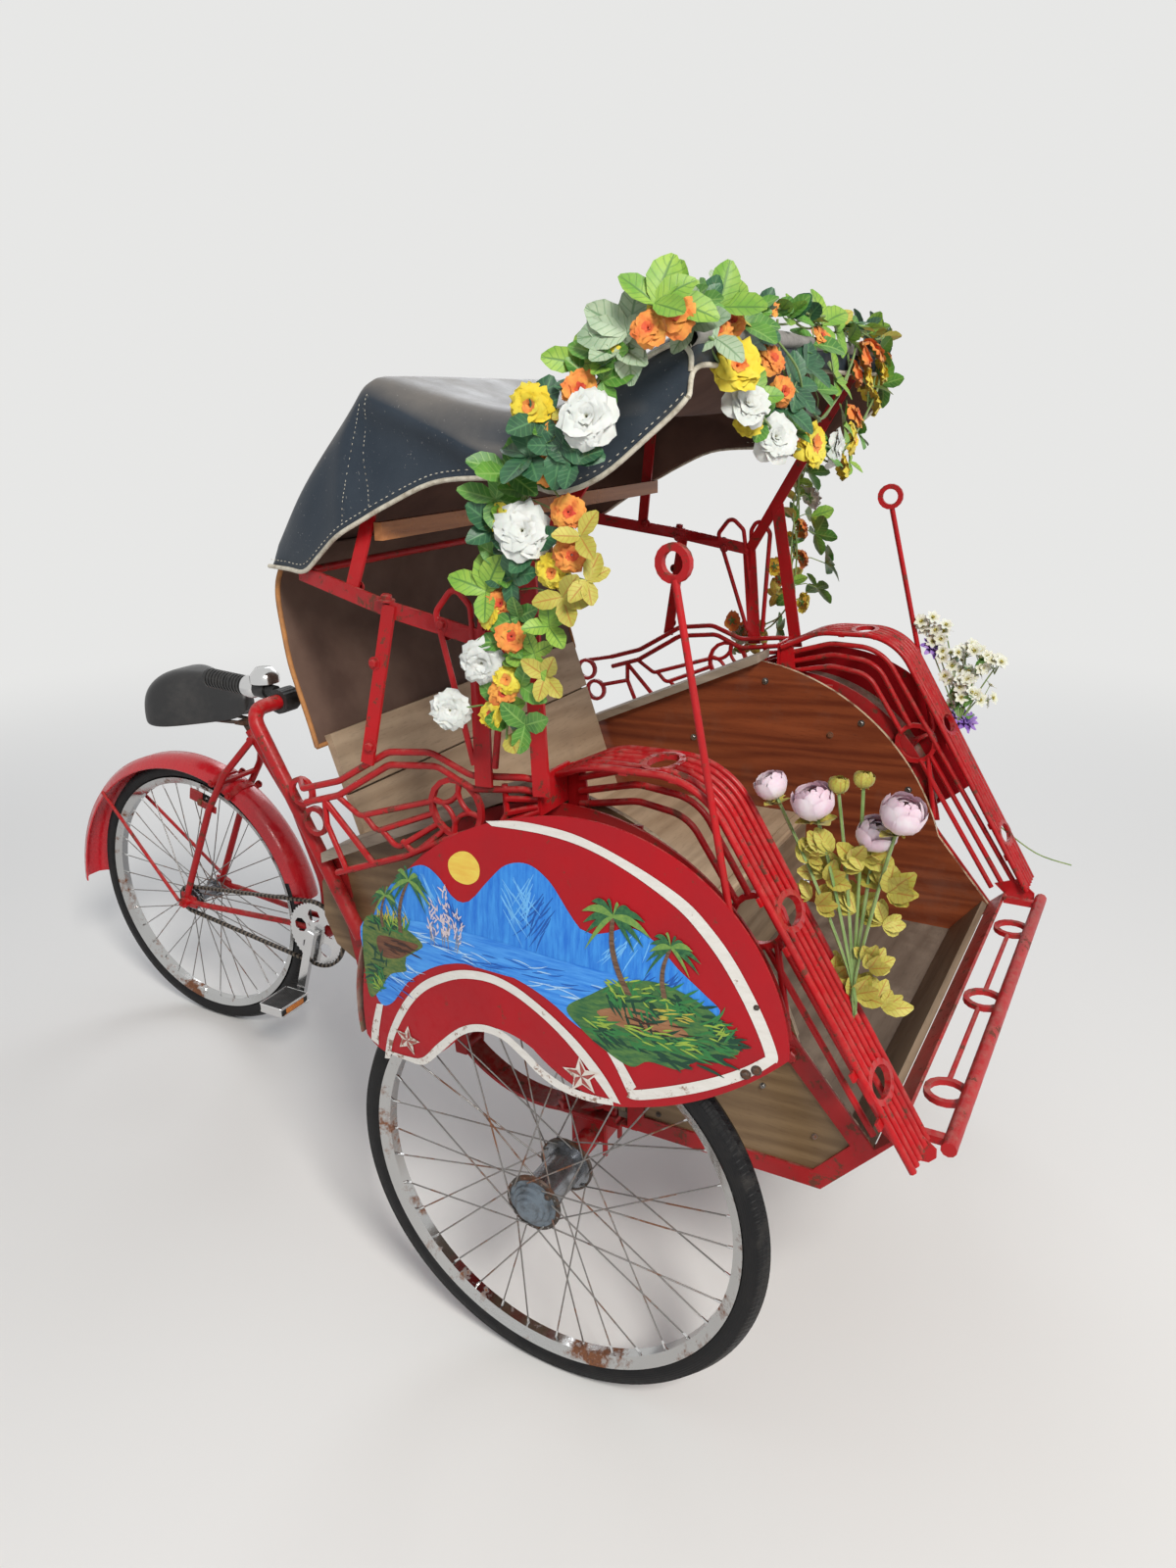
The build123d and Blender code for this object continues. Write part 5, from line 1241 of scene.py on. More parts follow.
# %% Saddle
# Place along the vehicle, half width, height of the top, height of the rolled edge
SADDLE_SECTIONS = metres(((1106, 10, 882, 860), (1112, 21, 893, 845), (1140, 27, 908, 834),
                          (1180, 33, 922, 828), (1220, 47, 932, 823), (1260, 70, 937, 819),
                          (1295, 93, 937, 817), (1325, 103, 931, 817), (1350, 98, 916, 821),
                          (1364, 80, 897, 829), (1369, 45, 878, 842)))
saddle_rows = []
for y, half, top, edge in SADDLE_SECTIONS:
    row = []
    for k in range(20):
        a = radians(-18 + 216 * k / 19)
        c, s = cos(a), sin(a)
        x = half * copysign(abs(c) ** 0.75, c)
        z = edge + (top - edge) * (max(s, 0.0) ** 0.62) if s > 0 else edge + 0.30 * (top - edge) * s
        z -= 0.004 * exp(-(x / (0.18 * half + 0.004)) ** 2) * (half > 0.05)
        row.append(at(x, y, z))
    under = edge + 0.004
    row += [at(half * share, y, under) for share in (-0.7, -0.3, 0.3, 0.7)]
    saddle_rows.append(row)
saddle_mesh = skin("saddle_cover", saddle_rows, wrap=True)
bm = bmesh.new()
bm.from_mesh(saddle_mesh)
bmesh.ops.holes_fill(bm, edges=[e for e in bm.edges if e.is_boundary], sides=0)
bmesh.ops.recalc_face_normals(bm, faces=bm.faces[:])
bm.to_mesh(saddle_mesh)
bm.free()
cover = Finish("black_leather", 0.38)
worn = cover.clouds(0.45, 0.75, 11.0, 6.0, 0.7)
cover.colour(cover.blend(cover.times(worn, 0.5), (0.018, 0.018, 0.019), (0.07, 0.066, 0.062)))
cover.rough(cover.band(worn, 0.0, 1.0, 0.34, 0.6))
pebble = cover.put("ShaderNodeTexVoronoi", {"Vector": cover.place, "Scale": 520.0}, feature="SMOOTH_F1")
cover.bump(pebble.outputs["Distance"], 0.25, 0.0006)
saddle = finished_piece("saddle_cover", saddle_mesh, "rear_fork", [cover.material],
                        replaces=("saddle",))
soft_edges = saddle.modifiers.new("soft_edges", "SUBSURF")
soft_edges.levels = soft_edges.render_levels = 2
print("saddle faces", len(saddle_mesh.polygons))

# %% [markdown]
# Small fastenings show how the vehicle is put together: bolts, nuts, nipples and clamps. Most are turned
# profiles, which one function makes, and a second one makes plates. A bolt is given by its place in the
# photograph: the camera stands where the photographer stood, so a ray through that place finds the face
# that the bolt sits on, and its twin goes on the other side.

# %% Turned fastenings
def lathe(bm, base, profile, sides=12, finish=0):
    """A turned shape on a frame whose Z is its axis. The profile is (distance along it, radius)."""
    rings = []
    for height, radius in profile:
        count = sides if radius > 0.00005 else 1
        rings.append([bm.verts.new(base @ Vector((radius * cos(2 * pi * k / sides),
                                                  radius * sin(2 * pi * k / sides), height)))
                      for k in range(count)])
    for a, b in zip(rings, rings[1:]):
        for k in range(sides):
            m = (k + 1) % sides
            corners = dict.fromkeys((a[k % len(a)], a[m % len(a)], b[m % len(b)], b[k % len(b)]))
            bm.faces.new(list(corners)).material_index = finish


def bolt(bm, place, look, size, finish=0, sides=6, washer=1.55):
    """A bolt's head on its washer, sunk a little into the face."""
    base = facing(place, look, 0.4)
    lathe(bm, base, ((-0.0015, washer * size), (0.0012, washer * size), (0.0014, 0.9 * size)), 14, finish)
    lathe(bm, base, ((0.0010, size), (0.0012 + 0.65 * size, size), (0.0012 + 0.85 * size, 0.78 * size),
                     (0.0012 + 0.90 * size, 0.0)), sides, finish)


def slab(bm, base, size, finish=0, edge=0.0015):
    """A plate with broken edges, in the middle of a frame."""
    made = bmesh.ops.create_cube(bm, size=1.0, matrix=base @ Matrix.Diagonal((*size, 1.0)))
    edges = list({e for v in made["verts"] for e in v.link_edges})
    cut = bmesh.ops.bevel(bm, geom=edges, offset=edge, segments=1, affect="EDGES")
    for face in {f for v in cut["verts"] for f in v.link_faces}:
        face.material_index = finish


crisp = round_shading(35.0)


def fastening(name, bm, body, materials):
    """A piece of small hard parts with crisp edges."""
    bmesh.ops.recalc_face_normals(bm, faces=bm.faces[:])
    piece = finished_piece(name, mesh_of(name, bm), body, materials)
    piece.modifiers.new("crisp_edges", "NODES").node_group = crisp
    return piece


bpy.context.view_layer.update()


def meets(names, origin, aim):
    """The nearest place where a ray meets one of the named parts, and the way that face looks."""
    found = []
    for name in names:
        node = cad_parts[name]
        back = node.matrix_world.inverted()
        hit, place, normal, _ = node.ray_cast(back @ origin, (back.to_3x3() @ aim).normalized())
        if hit:
            place = node.matrix_world @ place
            found.append(((place - origin).length, place, (node.matrix_world.to_3x3() @ normal).normalized()))
    return min(found, key=lambda one: one[0])[1:] if found else None


def seen_at(u, v, names):
    """Where the camera's ray through a place in the photograph meets the parts."""
    aim = forward * FOCAL_PIXELS + right * (u - PHOTO_WIDTH / 2) + down * (v - PHOTO_HEIGHT / 2)
    return meets(names, CAMERA_AT, aim)


def twin(place):
    return Vector((-place.x, place.y, place.z))


IRON = ("hood_irons", "cabin_frame", "guard_hoops", "eye_rods", "arm_rail_right", "bow_rail_right")
# Part or parts, finish, and each bolt's place in the photograph with its head size
BOLTS = (
    (IRON, 0, ((451, 637, 0.0065), (394, 612, 0.0085), (382, 677, 0.0065), (378, 762, 0.0070),
               (692, 548, 0.0065), (739, 559, 0.0065), (659, 534, 0.0065), (808, 1076, 0.0095))),
    (("side_panel_left",), 1, ((781, 695, 0.0048), (708, 752, 0.0048), (847, 750, 0.0048),
                               (879, 738, 0.0048), (927, 806, 0.0048))),
    (("skirt_right",), 2, ((761, 1096, 0.0048), (772, 1092, 0.0048), (772, 1028, 0.0026))),
    (("side_panel_right",), 2, ((672, 1137, 0.0028),)),
)
# Screws (y, z) along the edges of the side panels, where they are held to the angle irons
SCREWS = metres(((-300, 560), (-180, 480), (420, 640), (330, 760), (-380, 500), (-60, 700)))
bolt_bm = bmesh.new()
for names, finish, bolts in BOLTS:
    for u, v, size in bolts:
        place, look = seen_at(u, v, names)
        bolt(bolt_bm, place, look, size, finish)
        bolt(bolt_bm, twin(place), twin(look), size, finish)
for y, z in SCREWS:
    for side, panel in ((1, "side_panel_left"), (-1, "side_panel_right")):
        place, look = meets((panel,), at(0.9 * side, y, z), Vector((-side, 0, 0)))
        bolt(bolt_bm, place, look, 0.0036, 1, 12, 1.2)
fastening("cabin_bolts", bolt_bm, "cabin", [red_iron, spoke_steel, dark_iron])
print("bolts", 2 * sum(len(bolts) for _, _, bolts in BOLTS), "and screws", 2 * len(SCREWS))

# %% [markdown]
# The front hubs carry a black rim on each flange, a stepped cap in blue-grey and two bolts. A nipple holds
# each spoke at the rim. Its place follows from how the wheel is laced: of the eighteen spokes on a side,
# every other one reaches the rim sixty degrees ahead of its hole in the hub and the rest as far behind, so
# a short loop places all of them.

# %% Hubs, nipples and valves
cap_grey = mottled("cap_grey", 0.42, (0.45, 0.7, 70.0, 6.0, 0.7), (0.15, 0.185, 0.22), (0.07, 0.075, 0.08),
                   (160.0, 4.0), (0.25, 0.0005), metallic=0.35)
CAP = metres(((52, 40), (53.6, 39.6), (54, 33), (58.5, 31.8), (59.8, 26.2), (60, 25.8), (65.5, 24.6),
              (67, 19.6), (67.2, 19), (71.5, 17.8), (73.8, 13), (74.8, 0)))
FLANGE_EDGE = metres(((47.2, 42.5), (47.2, 45.8), (52.8, 45.8), (53, 39.8)))
SPOKE_HEAD = metres(((-1, 1.9), (1, 1.7), (1.6, 0)))
NIPPLE = metres(((0, 3), (2.5, 2.3), (11, 2), (12.5, 1.2)))
VALVE = metres(((0, 5.5), (2, 5.5), (2, 3), (22, 3), (23, 3.8), (34, 3.6), (36, 0)))
# Body, centre, inner radius of the rim, radius of the hub's circle of holes, and half the hub's width
WHEELS = (("front_wheel_left", at(FRONT_WHEEL_X, 0.0, FRONT_AXLE_Z), 0.305, 0.038, 0.050),
          ("front_wheel_right", at(-FRONT_WHEEL_X, 0.0, FRONT_AXLE_Z), 0.305, 0.038, 0.050),
          ("rear_wheel", at(0.0, REAR_AXLE_Y, REAR_AXLE_Z), 0.292, 0.021, 0.030))
for body, centre, inner_r, circle_r, flange_x in WHEELS:
    if body != "rear_wheel":
        hub_bm = bmesh.new()
        out = copysign(1.0, centre.x)
        for way in (out, -out):
            base = facing(centre, (way, 0, 0))
            lathe(hub_bm, base, FLANGE_EDGE, 36, 1)
            for k in range(18):
                a = radians(20 * k + 7)
                spot = base @ Vector((0.0432 * cos(a), 0.0432 * sin(a), 0.0524))
                lathe(hub_bm, facing(spot, (way, 0, 0)), SPOKE_HEAD, 6, 2)
        base = facing(centre, (out, 0, 0))
        lathe(hub_bm, base, CAP, 36, 0)
        for angle in (40, 220):
            a = radians(angle)
            spot = base @ Vector((0.0362 * cos(a), 0.0362 * sin(a), 0.0538))
            bolt(hub_bm, spot, (out, 0, 0), 0.0040, 1)
        fastening(body + "_cap", hub_bm, body, [cap_grey, dark_iron, spoke_steel])
    nipple_bm = bmesh.new()
    for side in (-1, 1):
        for i in range(18):
            lean = 1 if i % 2 == 0 else -1
            a = radians(20 * i + (side + 1) * 5)
            b = a + lean * radians(60)
            hub_end = centre + Vector((side * flange_x, circle_r * cos(a), circle_r * sin(a)))
            rim_end = centre + Vector((0, (inner_r + 0.001) * cos(b), (inner_r + 0.001) * sin(b)))
            lathe(nipple_bm, facing(rim_end, hub_end - rim_end), NIPPLE, 6)
    a = radians(95)
    stem_foot = centre + Vector((0, inner_r * cos(a), inner_r * sin(a)))
    lathe(nipple_bm, facing(stem_foot, centre - stem_foot), VALVE, 10)
    fastening(body + "_nipples", nipple_bm, body, [bright_steel])
print("hubs and nipples done")

# %% [markdown]
# The springs are clamped to the axle by a plate and four nuts, and a short coil sits on the axle beside
# each. The brake of the rear wheel is two pads beside the rim on red arms. The handle's grip ends in a
# bright collar and a black clamp, and the pedals are bright cages with amber reflectors.

# %% Clamps, brake and pedals
NUT_ON_BOLT = metres(((0, 10.5), (10, 10.5), (11.5, 8.5), (11.5, 4.5), (21, 4.5), (22, 0)))
clamp_bm = bmesh.new()
for side in (-1, 1):
    slab(clamp_bm, Matrix.Translation(at(0.405 * side, 0.0, 0.397)), (0.066, 0.118, 0.009))
    for dx in (-0.026, 0.026):
        for dy in (-0.046, 0.046):
            base = Matrix.Translation(at(0.405 * side + dx, dy, 0.4012))
            lathe(clamp_bm, base @ spun(0.5 + 30 * dy), NUT_ON_BOLT, 4)
            lathe(clamp_bm, Matrix.Translation(at(0.405 * side + dx, dy * 0.62, 0.330)),
                  ((0.0, 0.0), (0.0, 0.0045), (0.064, 0.0045)), 8)
    coil = []
    for k in range(6):
        coil += [(0.0075 * k, 0.0205), (0.0075 * k + 0.0018, 0.0265), (0.0075 * k + 0.0050, 0.0265)]
    coil += [(0.046, 0.0205), (0.046, 0.0175)]
    lathe(clamp_bm, facing(at(0.366 * side, 0.0, FRONT_AXLE_Z), (-side, 0, 0)), coil, 24)
fastening("spring_clamps", clamp_bm, "cabin", [red_iron])

black_paint = mottled("black_paint", 0.35, (0.4, 0.8, 60.0, 5.0), (0.012, 0.012, 0.013), (0.045, 0.043, 0.04),
                      (200.0, 3.0), (0.2, 0.0004))
brake_bm = bmesh.new()
pad_angle = radians(104)
for side in (-1, 1):
    spot = at(0.0345 * side, REAR_AXLE_Y + 0.288 * cos(pad_angle), REAR_AXLE_Z + 0.288 * sin(pad_angle))
    base = Matrix.Translation(spot) @ Matrix.Rotation(pad_angle - pi / 2, 4, "X")
    slab(brake_bm, base, (0.017, 0.058, 0.020), 1, 0.004)
    slab(brake_bm, base @ Matrix.Translation((0.012 * side, 0.0, 0.006)), (0.005, 0.040, 0.030), 0)
    slab(brake_bm, base @ Matrix.Translation((0.018 * side, -0.020, 0.0)), (0.012, 0.012, 0.012), 2, 0.002)
    slab(brake_bm, base @ Matrix.Translation((0.016 * side, -0.040, -0.004)), (0.005, 0.060, 0.018), 0)
fastening("rear_brake", brake_bm, "rear_fork", [red_iron, black_paint, spoke_steel])

grip_bm = bmesh.new()
base = facing(at(-0.385, 0.694, 1.0350), (0, -1, -0.06))
lathe(grip_bm, base, ((-0.010, 0.0140), (-0.010, 0.0185), (0.004, 0.0205), (0.012, 0.0190), (0.016, 0.0150),
                      (0.016, 0.0120)), 24, 0)
lathe(grip_bm, base, ((0.016, 0.0), (0.016, 0.0158), (0.034, 0.0168), (0.040, 0.0150), (0.042, 0.0)), 20, 1)
for k in range(13):
    ring = facing(at(-0.385, 0.704 + 0.0072 * k, 1.0352 + 0.00045 * k), (0, 1, 0.06))
    lathe(grip_bm, ring, ((-0.0022, 0.0145), (-0.0016, 0.0176), (0.0016, 0.0176), (0.0022, 0.0145)), 20, 1)
fastening("grip_collar", grip_bm, "cabin", [bright_steel, black_paint])

amber = Finish("amber_reflector", 0.15)
cells = amber.put("ShaderNodeTexVoronoi", {"Vector": amber.place, "Scale": 320.0}).outputs["Distance"]
amber.colour(amber.blend(amber.band(cells, 0.1, 0.6), (0.86, 0.34, 0.02), (0.60, 0.16, 0.01)))
amber.bump(cells, 0.4, 0.0008)
amber.set("Coat Weight", 0.6)
CRANK_TILT = radians(18)
for body, side in (("pedal_left", 1), ("pedal_right", -1)):
    middle = at(0.118 * side, 0.940 - 0.165 * side * sin(CRANK_TILT), 0.340 + 0.165 * side * cos(CRANK_TILT))
    pedal_bm = bmesh.new()
    for way in (-1, 1):
        end_place = Matrix.Translation(middle + Vector((0, 0.0325 * way, 0)))
        slab(pedal_bm, end_place, (0.056, 0.004, 0.014), 1, 0.0015)
        for up in (-1, 1):
            rail = facing(middle + Vector((-0.043, 0.0325 * way, 0.0095 * up)), (1, 0, 0))
            lathe(pedal_bm, rail, ((0.0, 0.0), (0.0, 0.0028), (0.086, 0.0028), (0.086, 0.0)), 8, 0)
        side_place = Matrix.Translation(middle + Vector((0.0435 * way, 0, 0)))
        slab(pedal_bm, side_place, (0.004, 0.064, 0.023), 0, 0.0015)
    fastening(body + "_cage", pedal_bm, body, [bright_steel, amber.material])
print("clamps, brake and pedals done")

# %% [markdown]
# Two straps hold the rear mudguard to the seat stays. They follow its rounded back, which a few rays
# towards the axle find.

# %% Straps of the rear mudguard
strap_bm = bmesh.new()
axle = at(0, REAR_AXLE_Y, REAR_AXLE_Z)
GUARD_R = 0.352
for angle in (112.0, 121.0):
    rows = []
    for k in range(17):
        x = -0.047 + 0.094 * k / 16
        row = []
        for turn in (-1.3, 1.3):
            a = radians(angle + turn)
            way = Vector((0, cos(a), sin(a)))
            seen = meets(("rear_mudguard",), axle + Vector((x, 0, 0)) + way * 0.6, -way)
            place = seen[0] if seen else axle + Vector((x, 0, 0)) + way * GUARD_R
            inner, outer = place + way * 0.0005, place + way * 0.0035
            row += [inner, outer] if turn < 0 else [outer, inner]
        rows.append(row)
    verts = [[strap_bm.verts.new(p) for p in row] for row in rows]
    for a, b in zip(verts, verts[1:]):
        for j in range(3):
            strap_bm.faces.new((a[j], a[j + 1], b[j + 1], b[j]))
    for side in (-1, 1):
        spot = axle + Vector((0.050 * side, GUARD_R * cos(radians(angle)), GUARD_R * sin(radians(angle))))
        bolt(strap_bm, spot, (side, 0, 0), 0.0060)
fastening("guard_straps", strap_bm, "rear_fork", [red_rod])
print("straps done")

# %% [markdown]
# Where boards meet, joiners close the gap with a strip: a rounded nosing in front of the seat, a sill
# where the floor runs under the riser, and cleats behind the riser's edges. Their places come from the
# boards' own boxes. The two boards of the backrest meet over thin leaning strips between its battens.

# %% Strips between the boards
riser_low, riser_high = (Vector(corner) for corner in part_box("seat_riser"))
seat_low, seat_high = (Vector(corner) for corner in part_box("seat_board"))
floor_low, floor_high = (Vector(corner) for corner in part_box("floor_board"))
HAIR = 0.0002
fillet_bm = bmesh.new()
leaning = Matrix.Rotation(-radians(18.5), 4, "X")
for low, high in ((-0.413, -0.3015), (-0.2685, 0.2685), (0.3015, 0.413)):
    slab(fillet_bm, Matrix.Translation(at((low + high) / 2, 0.4730, 0.8749)) @ leaning,
         (high - low, 0.0022, 0.024), edge=0.0005)


def strip(low, high, finish, edge=0.001):
    """A strip between two opposite corners."""
    low, high = Vector(low), Vector(high)
    slab(fillet_bm, Matrix.Translation((low + high) / 2), high - low, finish, edge)


strip((riser_low.x, riser_low.y, seat_low.z), (riser_high.x, seat_low.y - HAIR, seat_high.z), 0, 0.004)
strip((riser_low.x, floor_high.y + HAIR, floor_low.z), (riser_high.x, riser_high.y, floor_high.z), 1)
strip((riser_low.x + 0.018, riser_high.y + HAIR, riser_high.z - 0.016),
      (riser_high.x - 0.018, riser_high.y + 0.022, seat_low.z - HAIR), 2)
for near, far in ((riser_low.x, riser_low.x + 0.016), (riser_high.x - 0.016, riser_high.x)):
    strip((near, riser_high.y + HAIR, riser_low.z), (far, riser_high.y + 0.013, riser_high.z - 0.001), 2)
fastening("board_strips", fillet_bm, "cabin", [seat_ply, floor_ply, toe_ply])
print("strips done")

# %% [markdown]
# Cloth flowers are tied along the hood and to the rails. A blossom is a spiral of cupped petals: the inner
# ones stand up and close over each other, the outer ones open and curl back. One function makes every
# blossom by its size and how far it opens, and each petal is a small grid that is bent twice and rounded
# at its end.

# %% Petals and leaves
def flower_finish(name, inner, outer, rough=0.75, scale=30.0, foot=None, veins=None):
    """Dyed cloth: a foot colour low on each petal, or veins that branch from a leaf's midrib."""
    f = Finish(name, rough)
    paint = f.blend(f.clouds(0.36, 0.66, scale, 4.0, 0.6), inner, outer)
    on_petal = f.put("ShaderNodeAttribute", {}, attribute_name="on_petal").outputs["Vector"]
    parts = f.parts(on_petal)
    weave = f.noise(260.0, 3.0)
    if foot:
        paint = f.blend(f.band(parts["Y"], 0.0, 0.62, 0.85, 0.0), paint, foot)
    if veins:
        across = f.math("ABSOLUTE", parts["X"])
        slant = f.math("SUBTRACT", f.times(parts["Y"], 38.0), f.times(across, 8.0))
        branches = f.band(f.math("SINE", slant), 0.72, 0.98, 0.0, 0.6)
        lines = f.math("MAXIMUM", branches, f.band(across, 0.13, 0.04))
        paint = f.blend(lines, paint, veins)
        weave = f.math("SUBTRACT", weave, f.times(lines, 1.5))
    f.colour(paint)
    f.bump(weave, 0.3, 0.0004)
    f.set("Sheen Weight", 0.15)
    f.set("Subsurface Weight", 0.08)
    return f.material


FLOWER_FINISHES = [
    flower_finish("white_petal", (0.74, 0.74, 0.71), (0.62, 0.64, 0.60), foot=(0.58, 0.55, 0.34)),
    flower_finish("yellow_petal", (0.78, 0.56, 0.02), (0.80, 0.68, 0.08), foot=(0.78, 0.34, 0.03)),
    flower_finish("orange_petal", (0.76, 0.17, 0.035), (0.80, 0.36, 0.06), scale=45.0,
                  foot=(0.66, 0.09, 0.02)),
    flower_finish("red_heart", (0.60, 0.04, 0.025), (0.76, 0.15, 0.03), scale=60.0, foot=(0.40, 0.02, 0.02)),
    flower_finish("pink_petal", (0.74, 0.50, 0.60), (0.78, 0.68, 0.72), foot=(0.62, 0.58, 0.30)),
    flower_finish("cream_petal", (0.76, 0.74, 0.60), (0.78, 0.78, 0.72), foot=(0.60, 0.58, 0.24)),
    flower_finish("violet_petal", (0.22, 0.10, 0.46), (0.42, 0.26, 0.62)),
    flower_finish("leaf_green", (0.035, 0.15, 0.018), (0.12, 0.32, 0.035), 0.45, 22.0,
                  veins=(0.20, 0.38, 0.08)),
    flower_finish("leaf_dark", (0.010, 0.060, 0.028), (0.028, 0.13, 0.048), 0.42, 22.0,
                  veins=(0.07, 0.20, 0.08)),
    flower_finish("leaf_light", (0.15, 0.34, 0.030), (0.30, 0.47, 0.060), 0.5, 26.0,
                  veins=(0.08, 0.20, 0.025)),
    flower_finish("leaf_pale", (0.27, 0.38, 0.24), (0.44, 0.53, 0.36), 0.55, 26.0, veins=(0.15, 0.26, 0.13)),
    flower_finish("leaf_gold", (0.38, 0.35, 0.045), (0.54, 0.48, 0.09), 0.6, 26.0, veins=(0.40, 0.20, 0.03)),
    flower_finish("stem_green", (0.12, 0.22, 0.05), (0.24, 0.34, 0.12), 0.5),
]
WHITE, YELLOW, ORANGE, RED, PINK, CREAM, VIOLET, GREEN, DARK, LIGHT, PALE, GOLD, STEM = range(13)
FULL_TURN = 6.28


def scatter(draw, *ranges):
    """A vector drawn from a range for X, one for Y and one for Z."""
    return Vector([draw.uniform(low, high) for low, high in ranges])



def add_grid(bm, rows, finish):
    """A small sheet of quads; every point keeps its place across and along the petal for the finishes."""
    on_petal = bm.verts.layers.float_vector.get("on_petal") or bm.verts.layers.float_vector.new("on_petal")
    verts = [[bm.verts.new(p) for p in row] for row in rows]
    for i, row in enumerate(verts):
        for j, vert in enumerate(row):
            vert[on_petal] = (2 * j / (len(row) - 1) - 1, i / (len(rows) - 1), 0.0)
    for a, b in zip(verts, verts[1:]):
        for j in range(len(a) - 1):
            face = bm.faces.new((a[j], a[j + 1], b[j + 1], b[j]))
            face.material_index = finish
            face.smooth = True


def petal(bm, frame_at, size, width, lean, curl, finish, ruffle, steps=4):
    """One cupped petal that rises from the frame's origin and leans out along its X."""
    rows = []
    for i in range(steps + 1):
        t = i / steps
        angle = lean + curl * t * t
        out = size * (0.12 + t * sin(angle))
        rise = size * t * cos(angle)
        half = width * size * (0.30 + 0.70 * sin(pi * min(0.80, 0.16 + 0.66 * t)))
        if i == steps:
            half *= 0.80
        row = []
        for j in range(5):
            v = j / 2 - 1
            cup = 0.28 * size * (v * v) * (1 - 0.5 * t)
            wave = ruffle * size * sin(7 * v + 7 * lean + 3 * curl) * t
            tip = 0.16 * size * v * v * t ** 3
            row.append(frame_at @ Vector((out - cup * cos(angle) + wave - tip * sin(angle), v * half,
                                          rise + 0.2 * cup + wave - tip * cos(angle))))
        rows.append(row)
    add_grid(bm, rows, finish)


def sepals(bm, base, size, finish=GREEN):
    """The green cup under a blossom."""
    below = base @ Matrix.Translation((0, 0, -0.08 * size))
    for k in range(5):
        spin = spun(2 * pi * k / 5)
        petal(bm, below @ spin, size * 0.55, 0.22, 1.15, 0.3, finish, 0.0, 3)


# Petals in each ring of a rose, how far they lean out and their share of the blossom's size
ROSE_RINGS = ((3, -0.10, 0.44), (4, 0.14, 0.60), (5, 0.42, 0.80), (6, 0.75, 1.0), (6, 1.10, 1.12))


def rose(bm, place, direction, size, finish, draw, openness=1.0, heart=None):
    """A blossom of five rings of petals with a green cup below."""
    base = facing(place, direction, draw.uniform(0, FULL_TURN))
    size *= 0.70
    for ring, (count, lean, share) in enumerate(ROSE_RINGS):
        for k in range(count):
            spin = 2 * pi * (k + 0.5 * ring + draw.uniform(-0.14, 0.14)) / count
            tone = heart if heart is not None and ring < 2 else finish
            length = size * share * draw.uniform(0.92, 1.06)
            tilt = lean * openness * draw.uniform(0.85, 1.2)
            curl = 0.25 + 0.45 * openness * draw.uniform(0.3, 1.6)
            petal(bm, base @ spun(spin), length, 0.52 + 0.035 * ring, tilt, curl, tone, 0.085)
    sepals(bm, base, size)


def globe_bloom(bm, place, direction, size, finish, draw):
    """A round, closed blossom: petals as patches of nested spheres, each ring more open at its top."""
    base = facing(place, direction, draw.uniform(0, FULL_TURN))
    for ring, (count, share, top) in enumerate(((4, 0.60, 80), (5, 0.74, 66), (6, 0.88, 50), (6, 1.0, 30))):
        for k in range(count):
            spin = base @ spun(2 * pi * (k + 0.5 * ring) / count)
            reach = share * size * draw.uniform(0.96, 1.04)
            rim = radians(top + draw.uniform(-8, 8))
            rows = []
            for i in range(6):
                t = i / 5
                height = radians(-80) + (rim + radians(80)) * t
                wide = radians(205 / count) * (1.0 if i < 5 else 0.72)
                row = []
                for j in range(5):
                    v = j / 2 - 1
                    drop = 0.10 * v * v * t ** 3
                    r = reach * (1.0 + 0.05 * t ** 4 + 0.02 * sin(5 * v + k))
                    c = cos(height - drop)
                    row.append(spin @ Vector((r * c * cos(v * wide), r * c * sin(v * wide),
                                              size * 0.85 + 0.92 * r * sin(height - drop))))
                rows.append(row)
            add_grid(bm, rows, finish)
    sepals(bm, base, size * 1.15, GOLD)


blossom_places = []


def leaf(bm, place, direction, normal, length, finish, draw, broad=0.34):
    """A pointed leaf with a folded midrib and wavy edges, left out where it would cut through a blossom."""
    along = Vector(direction).normalized()
    reached = (Vector(place) + along * (0.55 * length), Vector(place) + along * length)
    if any((q - centre).length < reach for q in reached for centre, reach in blossom_places):
        return
    side = along.cross(Vector(normal)).normalized()
    up = side.cross(along)
    rows = []
    droop, twist = draw.uniform(-0.05, 0.35), draw.uniform(-0.25, 0.25)
    for i in range(8):
        t = i / 7
        half = broad * length * sin(pi * (0.02 + 0.96 * t) ** 1.05) ** 0.62 * (1.0 if i % 2 else 0.92)
        middle = Vector(place) + along * (length * t) - up * (droop * length * t * t)
        lift = 0.26 * half
        lean = side * cos(twist * t) + up * sin(twist * t)
        inside, rim = up * (0.4 * lift), up * lift
        rows.append([middle - lean * half + rim, middle - lean * (0.5 * half) + inside, middle,
                     middle + lean * (0.5 * half) + inside, middle + lean * half + rim])
    add_grid(bm, rows, finish)


def leaf_spray(bm, place, look, count, length, finish, draw):
    """Leaves in a fan round one joint, with their faces outwards."""
    look = Vector(look).normalized()
    side = look.cross(Vector((0, 0, 1))).normalized()
    upright = side.cross(look)
    start = draw.uniform(0, FULL_TURN)
    for k in range(count):
        a = start + 2 * pi * k / count + draw.uniform(-0.4, 0.4)
        way = side * cos(a) + upright * (sin(a) + 0.15) + look * draw.uniform(0.1, 0.7)
        leaf(bm, place, way, look + Vector((0, 0, 0.25)), length * draw.uniform(0.78, 1.1), finish, draw)


